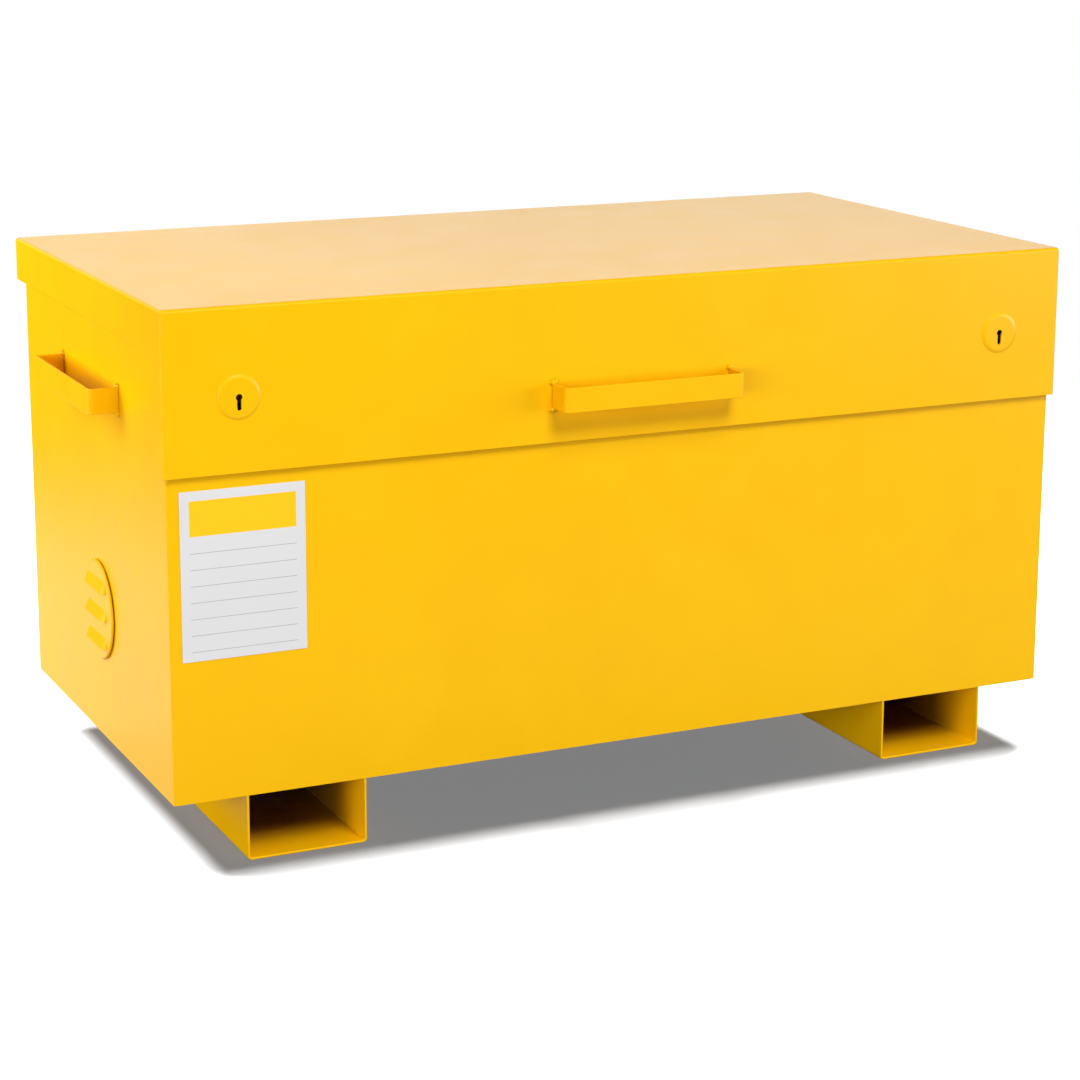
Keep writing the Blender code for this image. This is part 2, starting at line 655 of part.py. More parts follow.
def hinge(number, x, lid_axis, paint, steel):
    """Weld-on hinge: a fixed leaf with two knuckles, a lid leaf with one, and a headed pin."""
    knuckle = (HINGE_LENGTH - 2 * KNUCKLE_GAP) / 3
    half = HINGE_LENGTH / 2
    body_back = BODY_REAR_Y + FIT
    lid_back = LID_REAR_Y - SHEET - FIT
    clear = KNUCKLE_RADIUS + KNUCKLE_GAP

    def barrel(name, start, material):
        piece = bar(name, KNUCKLE_RADIUS, start, start + knuckle, material)
        piece.location = (x, HINGE_Y, HINGE_Z)
        piece.rotation_euler = (0, math.radians(90), 0)
        return piece

    bore = bar(f"pin_bore_{number}", PIN_RADIUS + RUN, -HINGE_LENGTH, HINGE_LENGTH, steel)
    bore.location = (x, HINGE_Y, HINGE_Z)
    bore.rotation_euler = (0, math.radians(90), 0)

    fixed = block(f"hinge_leaf_body_{number}", (x - half, body_back, HINGE_Z - clear - LEAF_HEIGHT),
                  (x + half, body_back + LEAF_THICK, HINGE_Z - clear), paint)
    for end, start in (("a", -half), ("b", half - knuckle)):
        tab = block(f"leaf_tab_{number}_{end}", (x + start, body_back, HINGE_Z - clear - LEAF_THICK),
                    (x + start + knuckle, body_back + LEAF_THICK, HINGE_Z + LEAF_THICK), paint)
        combine(fixed, tab, "UNION")
        combine(fixed, barrel(f"knuckle_{number}_{end}", start, paint), "UNION")
    combine(fixed, bore, "DIFFERENCE")

    leaf_top = min(HINGE_Z + clear + LEAF_HEIGHT, CEILING_Z - BEND)
    moving = block(f"hinge_leaf_lid_{number}", (x - half, lid_back, HINGE_Z + clear),
                   (x + half, lid_back - LEAF_THICK, leaf_top), paint)
    tab = block(f"leaf_tab_{number}_c", (x - knuckle / 2, lid_back, HINGE_Z - LEAF_THICK),
                (x + knuckle / 2, lid_back - LEAF_THICK, HINGE_Z + clear + LEAF_THICK), paint)
    combine(moving, tab, "UNION")
    combine(moving, barrel(f"knuckle_{number}_c", -knuckle / 2, paint), "UNION")
    combine(moving, bore, "DIFFERENCE")
    carry(moving, lid_axis)

    tip = half + FIT
    lip = PIN_RADIUS + PIN_HEAD_LIP
    profile = [(0, -tip - PIN_HEAD), (lip, -tip - PIN_HEAD), (lip, -tip), (PIN_RADIUS, -tip),
               (PIN_RADIUS, tip), (lip, tip), (lip, tip + PIN_HEAD), (0, tip + PIN_HEAD)]
    pin = turned(f"hinge_pin_{number}", profile, steel)
    pin.location = (x, HINGE_Y, HINGE_Z)
    pin.rotation_euler = (0, math.radians(90), 0)


def strut_pivot(angle):
    """A point on the struts' circle about the hinge axis, by its angle above the front."""
    return (HINGE_Y - STRUT_ARM * math.cos(angle), HINGE_Z + STRUT_ARM * math.sin(angle))


def stud(name, reach, material):
    """Collar, pin and retaining head along Z, with its root sunk one plate deep."""
    hold = reach + EYE_WIDTH + 2 * RUN
    profile = [(0, -STRUT_PLATE_THICK / 2), (STUD_COLLAR, -STRUT_PLATE_THICK / 2), (STUD_COLLAR, reach),
               (STUD_RADIUS, reach), (STUD_RADIUS, hold), (STUD_COLLAR, hold),
               (STUD_COLLAR, hold + STUD_HEAD), (0, hold + STUD_HEAD)]
    return turned(name, profile, material)


def eye(name, place, target, material):
    """Joins a drilled eye across X to the end of a strut piece."""
    ring = bar(f"{name}_ring", EYE_RADIUS, -EYE_WIDTH / 2, EYE_WIDTH / 2, material)
    hole = bar(f"{name}_hole", STUD_RADIUS + RUN, -EYE_WIDTH, EYE_WIDTH, material)
    for tool in (ring, hole):
        tool.location = place
        tool.rotation_euler = (0, math.radians(90), 0)
    combine(target, ring, "UNION")
    combine(target, hole, "DIFFERENCE")


def gas_strut(side, sign, lid_axis, black, chrome, steel):
    """Gas strut on two studs at one distance from the hinge, with its wall plate and lid bracket."""
    x = sign * STRUT_X
    foot_y, foot_z = strut_pivot(HEAD_ANGLE - STRUT_SPREAD)
    head_y, head_z = strut_pivot(HEAD_ANGLE)
    tilt = math.atan2(foot_y - head_y, head_z - foot_z)
    foot, head = (x, foot_y, foot_z), (x, head_y, head_z)

    tube = turned(f"strut_tube_{side}", [(0, EYE_NECK), (TUBE_RADIUS, EYE_NECK), (TUBE_RADIUS, TUBE_END),
                                         (BORE_RADIUS, TUBE_END), (BORE_RADIUS, EYE_NECK + TUBE_FLOOR),
                                         (0, EYE_NECK + TUBE_FLOOR)], black)
    tube.location = foot
    tube.rotation_euler = (tilt, 0, 0)
    eye(f"tube_eye_{side}", foot, tube, black)

    gland_out = BORE_RADIUS - FIT
    gland = turned(f"strut_gland_{side}", [(ROD_RADIUS + RUN, TUBE_END - GLAND_LENGTH),
                                           (gland_out, TUBE_END - GLAND_LENGTH), (gland_out, TUBE_END),
                                           (ROD_RADIUS + RUN, TUBE_END)], steel, ring=True)
    gland.parent = tube

    piston = BORE_RADIUS - RUN
    rod = turned(f"strut_rod_{side}", [(0, -ROD_END), (piston, -ROD_END), (piston, -ROD_END + PISTON_LENGTH),
                                       (ROD_RADIUS, -ROD_END + PISTON_LENGTH), (ROD_RADIUS, -EYE_NECK),
                                       (0, -EYE_NECK)], chrome)
    rod.location = head
    rod.rotation_euler = (tilt, 0, 0)
    eye(f"rod_eye_{side}", head, rod, chrome)
    carry(rod, lid_axis)

    half = STRUT_PLATE / 2
    plate_in = WALL_X - FIT - STRUT_PLATE_THICK
    base = block(f"strut_base_{side}", (sign * (WALL_X - FIT), foot_y - half, foot_z - half),
                 (sign * plate_in, foot_y + half, foot_z + half), steel)
    pin = stud(f"base_stud_{side}", plate_in - STRUT_X - EYE_WIDTH / 2 - RUN, steel)
    pin.location = (sign * plate_in, foot_y, foot_z)
    pin.rotation_euler = (0, INTO[sign], 0)
    combine(base, pin, "UNION")

    leg_x = STRUT_X - EYE_WIDTH / 2 - RUN - STRUT_HEAD_STANDOFF
    top = CEILING_Z - FIT
    low = head_z - STRUT_LEG_MARGIN
    corners = {}
    for end, y in (("f", head_y - half), ("r", head_y + half)):
        corners[end + "l"] = (sign * leg_x, y, low)
        corners[end + "h"] = (sign * leg_x, y, top)
        corners[end + "i"] = (sign * (leg_x - STRUT_PLATE), y, top)
    faces = [("fl", "rl", "rh", "fh"), ("fh", "rh", "ri", "fi")]
    bracket = folded_sheet(f"strut_head_{side}", corners, faces, [("fh", "rh")], (sign, 0, 0),
                           STRUT_PLATE_BEND, STRUT_PLATE_THICK, steel)
    pin = stud(f"head_stud_{side}", STRUT_HEAD_STANDOFF, steel)
    pin.location = (sign * leg_x, head_y, head_z)
    pin.rotation_euler = (0, -INTO[sign], 0)
    combine(bracket, pin, "UNION")
    carry(bracket, lid_axis)


def lock(side, sign, lid_axis, paint, steel, brass):
    """Rose, box, cover, levers, keyway barrel and bolt of one lock, with its keeper."""
    keyhole = keyhole_cutter(side, sign, steel)
    rose = lock_rose(side, sign, paint)
    case = lock_case(side, sign, steel)
    curtain = lock_curtain(side, sign, brass)
    for piece in (rose, case, curtain):
        combine(piece, keyhole, "DIFFERENCE")
    pieces = [rose, case, curtain, lock_cover(side, sign, steel), lever_pack(side, sign, brass),
              lock_bolt(side, sign, steel)]
    for piece in pieces:
        carry(piece, lid_axis)
    lock_keeper(side, sign, steel)


for old in list(bpy.data.objects):
    bpy.data.objects.remove(old, do_unlink=True)

yellow = finish("yellow_powder_coat", (1.0, 0.55, 0.005), 0.38, 0.0)
black_rubber = finish("black_rubber", (0.02, 0.02, 0.02), 0.8, 0.0)
zinc = finish("zinc_steel", (0.62, 0.63, 0.64), 0.35, 1.0)
brass_metal = finish("brass", (0.72, 0.52, 0.22), 0.35, 1.0)
black_paint = finish("black_paint", (0.015, 0.015, 0.016), 0.4, 0.0)
chrome_metal = finish("chrome", (0.8, 0.8, 0.8), 0.1, 1.0)
label_vinyl = finish("label_vinyl", (0.8, 0.79, 0.8), 0.4, 0.0)

front_panel(yellow)
rear_panel(yellow)
floor_tray(yellow)
blank_label(label_vinyl)

lid_pivot = axis_empty("lid_pivot", (0, HINGE_Y, HINGE_Z))
carry(lid_shell(yellow), lid_pivot)
front_handle = strap_handle("front_handle", (0, LID_FRONT_Y, LID_BOTTOM_Z + FRONT_HANDLE_RISE),
                            (0, -1, 0), (1, 0, 0), yellow)
carry(front_handle, lid_pivot)

for side_name, side_sign in SIDES:
    side_panel(side_name, side_sign, yellow)
    fork_skid(side_name, side_sign, yellow)
    handle_place = (side_sign * BODY_SIDE_X, BODY_MID_Y, SKIRT_Z - SIDE_HANDLE_DROP)
    strap_handle(f"side_handle_{side_name}", handle_place, (side_sign, 0, 0), (0, 1, 0), yellow)
    vent(side_name, side_sign, yellow, black_rubber)
    lid_buffer(side_name, side_sign, black_rubber)
    carry(lid_stiffener(side_name, side_sign, yellow), lid_pivot)
    lock(side_name, side_sign, lid_pivot, yellow, zinc, brass_metal)
    gas_strut(side_name, side_sign, lid_pivot, black_paint, chrome_metal, zinc)

for hinge_number in range(HINGE_COUNT):
    hinge(hinge_number + 1, (hinge_number - (HINGE_COUNT - 1) / 2) * HINGE_SPACING, lid_pivot, yellow, zinc)
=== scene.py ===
import json
import math

import bmesh
import bpy
from mathutils import Matrix, Vector


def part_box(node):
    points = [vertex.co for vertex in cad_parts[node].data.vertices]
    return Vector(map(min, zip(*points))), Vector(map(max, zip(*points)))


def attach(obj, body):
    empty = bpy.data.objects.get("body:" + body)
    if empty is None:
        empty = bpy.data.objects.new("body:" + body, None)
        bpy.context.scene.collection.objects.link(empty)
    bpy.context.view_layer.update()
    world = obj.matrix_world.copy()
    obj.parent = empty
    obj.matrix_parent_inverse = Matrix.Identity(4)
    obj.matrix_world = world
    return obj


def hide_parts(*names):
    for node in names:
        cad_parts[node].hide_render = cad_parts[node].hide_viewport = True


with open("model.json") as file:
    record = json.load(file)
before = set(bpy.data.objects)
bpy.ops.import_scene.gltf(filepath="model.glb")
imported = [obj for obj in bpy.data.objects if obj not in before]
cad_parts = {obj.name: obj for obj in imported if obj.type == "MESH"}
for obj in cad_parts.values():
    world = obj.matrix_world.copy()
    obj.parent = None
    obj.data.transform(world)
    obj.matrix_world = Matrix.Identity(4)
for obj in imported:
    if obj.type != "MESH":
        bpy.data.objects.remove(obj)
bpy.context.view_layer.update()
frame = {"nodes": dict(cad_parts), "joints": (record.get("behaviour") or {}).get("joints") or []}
nodes = frame["nodes"]
pivots = {joint["name"]: Vector(joint["pos_m"]) for joint in frame["joints"] if "pos_m" in joint}

# Fork skids: two open channels folded from 3 mm steel plate, stitch welded under the floor so that
# a lift truck can lift the box. They are powder coated with it, and scraped where forks slide in.
# Shade is painted into the coat: it turns dark brown deep inside each pocket.
SKID_WALL = 0.003
SKID_BEND = 0.005
SKID_EASE = 0.0010
STITCH = 0.070
STITCH_PITCH = 0.180
STITCH_SIZE = 0.0026
STITCH_OUT = 0.0008
STITCH_DROP = 0.0006
BEAD_STEP = 0.0011
FORK_WEAR = 0.010
# Where the shade painted inside the pockets begins, how deep it reaches and how it meets the walls.
POCKET_LIP = 0.004
POCKET_SHADE_DEPTH = 0.120
SHADE_WALL_START = 0.0002
SHADE_WALL_END = 0.0014
PAINT_SHINE = 0.26
YELLOW = (0.940, 0.512, 0.0012, 1.0)
YELLOW_DEEP = (0.905, 0.482, 0.001, 1.0)
BARE_STEEL = (0.30, 0.29, 0.28, 1.0)
# The dark brown painted inside the pockets as shade.
POCKET_SHADE_BROWN = (0.190, 0.088, 0.0024, 1.0)


class Wire:
    """A shader socket that takes part in plain arithmetic and feeds further nodes."""

    def __init__(self, socket):
        self.socket = socket
        self.tree = socket.id_data

    def make(self, kind, settings, inputs):
        """Adds a node with its settings and its sockets' values or links, and gives its first output."""
        node = self.tree.nodes.new(kind)
        for key, value in settings.items():
            setattr(node, key, value)
        for key, value in inputs.items():
            if isinstance(value, Wire):
                self.tree.links.new(value.socket, node.inputs[key])
            else:
                node.inputs[key].default_value = value
        return Wire(node.outputs[0])

    def out(self, which):
        """Another output of the same node."""
        return Wire(self.socket.node.outputs[which])

    def into(self, socket):
        """Links this to a socket of a shader or an output."""
        self.tree.links.new(self.socket, socket)

    def math(self, operation, first, second=0.0):
        return self.make("ShaderNodeMath", {"operation": operation}, {0: first, 1: second})

    def __add__(self, other):
        return self.math("ADD", self, other)

    def __sub__(self, other):
        return self.math("SUBTRACT", self, other)

    def __rsub__(self, other):
        return self.math("SUBTRACT", other, self)

    def __mul__(self, other):
        return self.math("MULTIPLY", self, other)

    def __truediv__(self, other):
        return self.math("DIVIDE", self, other)

    __radd__ = __add__
    __rmul__ = __mul__

    def size(self):
        """The value without its sign."""
        return self.math("ABSOLUTE", self)

    def ramp(self, low, high):
        """0 below low, 1 above high, smooth between."""
        return self.make("ShaderNodeMapRange", {"interpolation_type": "SMOOTHSTEP"},
                         {"Value": self, "From Min": low, "From Max": high})

    def parts(self):
        """The X, Y and Z of a vector."""
        split = self.make("ShaderNodeSeparateXYZ", {}, {0: self})
        return split, split.out(1), split.out(2)

    def noise(self, scale, detail=2.0, stretch=(1, 1, 1)):
        """Cloudy noise over a place, about one lump to every 1/scale metres."""
        moved = self.make("ShaderNodeMapping", {}, {"Vector": self, "Scale": stretch})
        return self.make("ShaderNodeTexNoise", {}, {"Vector": moved, "Scale": scale, "Detail": detail})

    def tint(self, first, second):
        """This mask's mix of two colours."""
        mixed = self.make("ShaderNodeMix", {"data_type": "RGBA"}, {0: self, 6: first, 7: second})
        return mixed.out(2)

    def relief(self, depth, strength=1.0, under=None):
        """A surface normal from this height, on top of a coarser one."""
        inputs = {"Height": self, "Distance": depth, "Strength": strength}
        if under:
            inputs["Normal"] = under
        return self.make("ShaderNodeBump", {}, inputs)


def new_look(name):
    """A bare material, its shader and the place on its piece in metres."""
    look = bpy.data.materials.new(name)
    look.use_nodes = True
    shader = look.node_tree.nodes["Principled BSDF"]
    place = look.node_tree.nodes.new("ShaderNodeTexCoord")
    return look, shader, Wire(place.outputs["Object"])


def powder_coat(name, scraped=None, pocket_shade=None, dented=None):
    """Yellow semi-gloss powder coat with orange peel, slow drifts of tone and fine rub marks, with painted
    shade where a shade mask is given.
    """
    look, shader, place = new_look(name)
    shader.inputs["Specular IOR Level"].default_value = PAINT_SHINE
    drift = place.noise(2.1, 3.0)
    cloud = place.noise(14.0, 3.0)
    peel = place.noise(330.0, 1.5)
    rub = place.noise(46.0, 4.0, (1.0, 1.0, 0.22)).ramp(0.62, 0.74)
    colour = (drift * 0.7 + cloud * 0.3).ramp(0.36, 0.64).tint(YELLOW_DEEP, YELLOW)
    rough = 0.335 + (cloud - 0.5) * 0.10 + (peel - 0.5) * 0.05 + rub * 0.035
    swell = drift.relief(0.0015, 0.35)
    if dented:
        swell = dented(place).relief(0.0012, 0.9, swell)
    # The shade mask paints shade: it darkens the colour towards a dark brown.
    if pocket_shade:
        colour = pocket_shade(place).tint(colour, POCKET_SHADE_BROWN)
    if scraped:
        bare = scraped(place)
        colour = bare.tint(colour, BARE_STEEL)
        rough = rough + bare * 0.12
        (bare * 0.9).into(shader.inputs["Metallic"])
        swell = (1 - bare).relief(0.0002, 0.5, swell)
    colour.into(shader.inputs["Base Color"])
    rough.into(shader.inputs["Roughness"])
    peel.relief(0.00022, 0.22, swell).into(shader.inputs["Normal"])
    return look


def add_piece(name, bm, look, body, slot, *stands_for):
    """Makes a piece of a mesh: it rides on a body and takes the place of CAD nodes."""
    mesh = bpy.data.meshes.new(name)
    bm.to_mesh(mesh)
    bm.free()
    mesh.shade_smooth()
    mesh.materials.append(look)
    item = bpy.data.objects.new(name, mesh)
    bpy.context.scene.collection.objects.link(item)
    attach(item, body)
    if stands_for:
        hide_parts(*stands_for)
    return item


def thicken(item, gauge):
    """Gives a sheet, drawn by its outer skin, its wall inwards."""
    wall = item.modifiers.new("gauge", "SOLIDIFY")
    wall.thickness = gauge
    wall.offset = -1
    wall.use_even_offset = True
    wall.use_quality_normals = True


def keep_flat(item):
    """Keeps flat faces looking flat beside rounded edges."""
    item.modifiers.new("shade", "WEIGHTED_NORMAL").keep_sharp = True


def ease(item, width, steps=2):
    """Eases the sharp edges, as a coat of powder does."""
    rounding = item.modifiers.new("ease", "BEVEL")
    rounding.width = width
    rounding.segments = steps
    rounding.limit_method = "ANGLE"
    rounding.angle_limit = math.radians(50)
    keep_flat(item)


def block(low, high):
    """The six faces between two corners, as a start for a plate or a folded sheet."""
    low, high = Vector(low), Vector(high)
    bm = bmesh.new()
    bmesh.ops.create_cube(bm, size=1.0)
    bmesh.ops.scale(bm, vec=high - low, verts=bm.verts)
    bmesh.ops.translate(bm, vec=(low + high) / 2, verts=bm.verts)
    bm.normal_update()
    return bm


def open_up(bm, *ways):
    """Takes away the faces that look the given ways."""
    gone = [face for face in bm.faces if any(face.normal.dot(Vector(way)) > 0.9 for way in ways)]
    bmesh.ops.delete(bm, geom=gone, context="FACES")


def lies(edge, axis, value):
    """Whether both ends of an edge lie at one value of an axis."""
    return all(abs(vert.co[axis] - value) < 1e-5 for vert in edge.verts)


def folds_at(bm, axis, value):
    """The fold lines of a sheet that lie at one value of an axis."""
    return [edge for edge in bm.edges if lies(edge, axis, value) and len(edge.link_faces) == 2]


def fold(bm, edges, radius, steps=6):
    """Rounds the fold lines of a sheet."""
    bmesh.ops.bevel(bm, geom=edges, offset=radius, offset_type="OFFSET", segments=steps, profile=0.5,
                    affect="EDGES", clamp_overlap=True, material=-1)


def welds(name, runs, size, look, body):
    """Runs of weld between pairs of points, rippled by the torch."""
    path = bpy.data.curves.new(name, "CURVE")
    path.dimensions = "3D"
    path.bevel_depth = size
    path.bevel_resolution = 3
    path.use_fill_caps = True
    for start, end in runs:
        start, end = Vector(start), Vector(end)
        count = max(4, int((end - start).length / BEAD_STEP))
        bead = path.splines.new("POLY")
        bead.points.add(count)
        for step, point in enumerate(bead.points):
            wander = 0.12 * size * math.sin(step * 1.9 + start.x * 31)
            ripple = 0.86 + 0.14 * math.cos(step * math.tau / 3)
            taper = min(1, (step + 2) / 4, (count - step + 2) / 4)
            point.co = (*start.lerp(end, step / count), 1.0)
            point.co.z += wander
            point.radius = ripple * taper
    lay = bpy.data.objects.new(name, path)
    bpy.context.scene.collection.objects.link(lay)
    laid = lay.evaluated_get(bpy.context.evaluated_depsgraph_get())
    bm = bmesh.new()
    bm.from_mesh(laid.to_mesh())
    bpy.data.objects.remove(lay)
    bpy.data.curves.remove(path)
    return add_piece(name, bm, look, body, "yellow_paint")


skid_low, skid_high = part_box("skid_right")
SKID_MIDDLE = (skid_low.x + skid_high.x) / 2
SKID_HALF = (skid_high.x - skid_low.x) / 2
SKID_CENTRE = (skid_low.y + skid_high.y) / 2
SKID_REACH = (skid_high.y - skid_low.y) / 2


def pocket_painted_shade(place):
    """Painted shade: darkens the pocket's inner faces more the deeper they lie from the mouths, a little
    cloudy.
    """
    x, y, z = place.parts()
    wall = ((x.size() - SKID_MIDDLE).size() - SKID_HALF).ramp(SHADE_WALL_START - SKID_WALL, SHADE_WALL_END - SKID_WALL)
    deep = 1 - ((y - SKID_CENTRE).size() - SKID_REACH).ramp(-POCKET_SHADE_DEPTH, -POCKET_LIP)
    above_floor = z.ramp(SKID_WALL - SHADE_WALL_END, SKID_WALL - SHADE_WALL_START)
    cloud = place.noise(24.0, 3.0) - 0.5
    return (1 - wall) * (deep + cloud * deep * 0.3) * above_floor


def fork_scrape(place):
    """Thin scrapes along the pocket's floor and runners, left by forks and pallets."""
    near = 1 - place.parts()[2].ramp(SKID_WALL, FORK_WEAR)
    streak = place.noise(70.0, 3.0, (1.0, 0.05, 1.0)).ramp(0.635, 0.70)
    worn = place.noise(9.0, 3.0).ramp(0.48, 0.62)
    return near * streak * worn * 0.8


coat = powder_coat("yellow_powder_coat")
# The skids' coat is scraped by forks and has shade painted deep inside the pockets.
skid_coat = powder_coat("skid_coat_scraped_and_shaded", fork_scrape, pocket_painted_shade)
for side in ("left", "right"):
    low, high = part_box(f"skid_{side}")
    bm = block(low, high)
    open_up(bm, (0, 0, 1), (0, -1, 0), (0, 1, 0))
    fold(bm, folds_at(bm, 2, low.z), SKID_BEND)
    skid = add_piece(f"fork_skid_{side}", bm, skid_coat, "body", "yellow_paint", f"skid_{side}")
    thicken(skid, SKID_WALL)
    ease(skid, SKID_EASE, 3)
    runs = []
    for x in (low.x - STITCH_OUT, high.x + STITCH_OUT):
        for shift in (-STITCH_PITCH, 0, STITCH_PITCH):
            start = SKID_CENTRE + shift - STITCH / 2
            runs.append(((x, start, high.z - STITCH_DROP), (x, start + STITCH, high.z - STITCH_DROP)))
    welds(f"skid_weld_{side}", runs, STITCH_SIZE, coat, "body")

# Floor tray: a sump pan of 2 mm sheet with welded upstands, which holds a spill inside the box.
# It stands inside the four walls, and its coat is scratched by what has been dragged over it.
PAN_WEAR = (0.0875, 0.095)
SCRATCHES = ((0.22, 210.0, 3.1), (-0.38, 170.0, 4.3), (1.25, 240.0, 3.7), (2.05, 190.0, 5.2))


def tray_scrape(place):
    """Fine scratches at several angles over the parts of the pan's floor that are used most."""
    near = 1 - place.parts()[2].ramp(*PAN_WEAR)
    marks = 0.0
    for angle, scale, patch in SCRATCHES:
        turned = place.make("ShaderNodeMapping", {}, {"Vector": place, "Rotation": (0, 0, angle)})
        scratch = turned.noise(scale, 1.0, (0.030, 1.0, 1.0)).ramp(0.66, 0.74)
        marks = scratch * turned.noise(patch, 1.0).ramp(0.46, 0.60) + marks
    return near * marks * 0.30


def dress(node, look):
    """Gives its finish to a CAD piece that is seen as it is."""
    nodes[node].material_slots[0].material = look


dress("floor_tray", powder_coat("tray_powder_coat", tray_scrape))

# Body: four walls of 2 mm sheet with tight folds, welded and dressed flush at the corners. The low
# front stands between two stiles, and inward rims stiffen the mouth. A round hole feeds each vent.
GAUGE = 0.002
BEND = 0.003
SHEET_EASE = 0.0005
STILE = 0.025
RIM = 0.015
FRONT_RIM = 0.028
RELIEF = 0.004
VENT_HOLE = 0.054


def score(bm, way, place, line):
    """Splits the faces that look one way along a plane."""
    bm.normal_update()
    faces = [face for face in bm.faces if face.normal.dot(Vector(way)) > 0.9]
    edges = {edge for face in faces for edge in face.edges}
    verts = {vert for face in faces for vert in face.verts}
    bmesh.ops.bisect_plane(bm, geom=[*faces, *edges, *verts], dist=1e-6, plane_co=place, plane_no=line)


def sharp_folds(bm):
    """The lines where two faces of a sheet meet at a sharp angle."""
    return [edge for edge in bm.edges if len(edge.link_faces) == 2 and edge.calc_face_angle() > 1.0]


def turn(profile, steps, lay, ring=False):
    """A piece turned about its own Z axis from (radius, height) points, then laid in its place."""
    bm = bmesh.new()
    verts = [bm.verts.new((radius, 0, height)) for radius, height in profile]
    pairs = list(zip(verts, verts[1:]))
    if ring:
        pairs.append((verts[-1], verts[0]))
    edges = [bm.edges.new(pair) for pair in pairs]
    bmesh.ops.spin(bm, geom=verts + edges, cent=(0, 0, 0), axis=(0, 0, 1), angle=math.tau, steps=steps,
                   use_merge=True)
    bmesh.ops.remove_doubles(bm, verts=bm.verts, dist=1e-6)
    bmesh.ops.recalc_face_normals(bm, faces=bm.faces)
    bmesh.ops.transform(bm, matrix=lay, verts=bm.verts)
    return bm


def cut(item, bm):
    """Cuts a tool's shape out of a piece for good."""
    mesh = bpy.data.meshes.new("tool")
    bm.to_mesh(mesh)
    bm.free()
    tool = bpy.data.objects.new("tool", mesh)
    bpy.context.scene.collection.objects.link(tool)
    notch = item.modifiers.new("cut", "BOOLEAN")
    notch.operation = "DIFFERENCE"
    notch.solver = "EXACT"
    notch.object = tool
    shaped = item.evaluated_get(bpy.context.evaluated_depsgraph_get())
    item.data = bpy.data.meshes.new_from_object(shaped)
    item.modifiers.clear()
    bpy.data.objects.remove(tool)


def drill(item, radius, low, high, steps, lay):
    """Cuts a round hole through a piece, between two heights on the drill's own axis."""
    cut(item, turn([(0, low), (radius, low), (radius, high), (0, high)], steps, lay))


def outward(sign, place):
    """Lays a turned piece on a side wall: its X along the wall, its Y up and its Z outwards."""
    turned = Matrix(((0, 0, sign), (sign, 0, 0), (0, 1, 0))).to_4x4()
    return Matrix.Translation(place) @ turned


left_low, left_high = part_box("side_panel_left")
right_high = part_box("side_panel_right")[1]
front_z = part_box("front_panel")[1].z
side_x, front_y, rear_y = right_high.x, left_low.y, left_high.y
rim_z = left_high.z

bm = block(left_low, right_high)
open_up(bm, (0, 0, 1), (0, 0, -1))
score(bm, (0, -1, 0), (0, 0, front_z), (0, 0, 1))
for inset in (RIM, STILE, STILE + RELIEF):
    for sign in (-1, 1):
        score(bm, (0, -1, 0), (sign * (side_x - inset), 0, 0), (1, 0, 0))
mouth = [face for face in bm.faces if face.normal.y < -0.9 and face.calc_center_median().z > front_z
         and abs(face.calc_center_median().x) < side_x - STILE]
bmesh.ops.delete(bm, geom=mouth, context="FACES")
top_edges = [edge for edge in bm.edges if lies(edge, 2, rim_z) and not lies(edge, 1, front_y)]
grown = bmesh.ops.extrude_edge_only(bm, edges=top_edges)["geom"]
for vert in (part for part in grown if isinstance(part, bmesh.types.BMVert)):
    vert.co.x -= math.copysign(RIM, vert.co.x)
    if vert.co.y > rear_y - 1e-5:
        vert.co.y -= RIM
lip = [edge for edge in bm.edges if edge.is_boundary and lies(edge, 2, front_z) and lies(edge, 1, front_y)
       and abs(edge.verts[0].co.x + edge.verts[1].co.x) / 2 < side_x - STILE - RELIEF]
grown = bmesh.ops.extrude_edge_only(bm, edges=lip)["geom"]
bmesh.ops.translate(bm, vec=(0, FRONT_RIM, 0),
                    verts=[part for part in grown if isinstance(part, bmesh.types.BMVert)])
bmesh.ops.remove_doubles(bm, verts=bm.verts, dist=1e-6)
bmesh.ops.recalc_face_normals(bm, faces=bm.faces)
bm.normal_update()
wall = max(bm.faces, key=lambda face: face.calc_area())
if wall.normal.y * (wall.calc_center_median().y - (front_y + rear_y) / 2) < 0:
    bmesh.ops.reverse_faces(bm, faces=bm.faces)
fold(bm, sharp_folds(bm), BEND)
body = add_piece("body_shell", bm, coat, "body", "yellow_paint", "front_panel", "rear_panel",
                 "side_panel_left", "side_panel_right")
thicken(body, GAUGE)
vent_y = sum(corner.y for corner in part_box("vent_disc_left")) / 2
vent_z = sum(corner.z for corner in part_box("vent_disc_left")) / 2
for sign in (-1, 1):
    drill(body, VENT_HOLE, -RIM, RIM, 64, outward(sign, (sign * side_x, vent_y, vent_z)))
ease(body, SHEET_EASE)

# Side vents: a round cover pressed from thin sheet, with three rain louvres that open downwards,
# held over the wall's hole on a black rubber ring. Its rim is turned back to close the gap.
VENT_RADIUS = 0.066
VENT_SHEET = 0.0015
VENT_FLANGE = 0.0016
VENT_ROUND = 0.0026
VENT_EASE = 0.0003
GASKET_GAP = 0.0004
GASKET_WIDTH = 0.0034
LOUVRE_LENGTH = 0.086
LOUVRE_HEIGHT = 0.0145
LOUVRE_DEPTH = 0.0066
LOUVRE_PITCH = 0.0372
LOUVRE_CORNER = 0.009
LOUVRE_END = 0.010
LOUVRE_TIP = 0.0002
LOUVRE_SEAT = 0.0002
LOUVRE_SHEET = 0.0011
SLIT_INSET = 0.007
SLIT_LOW = 0.0012
SLIT_HIGH = 0.0092
SLIT_REACH = 0.004
RUBBER_BLACK = (0.012, 0.012, 0.012, 1)
RUBBER_BLOOM = (0.030, 0.029, 0.028, 1)


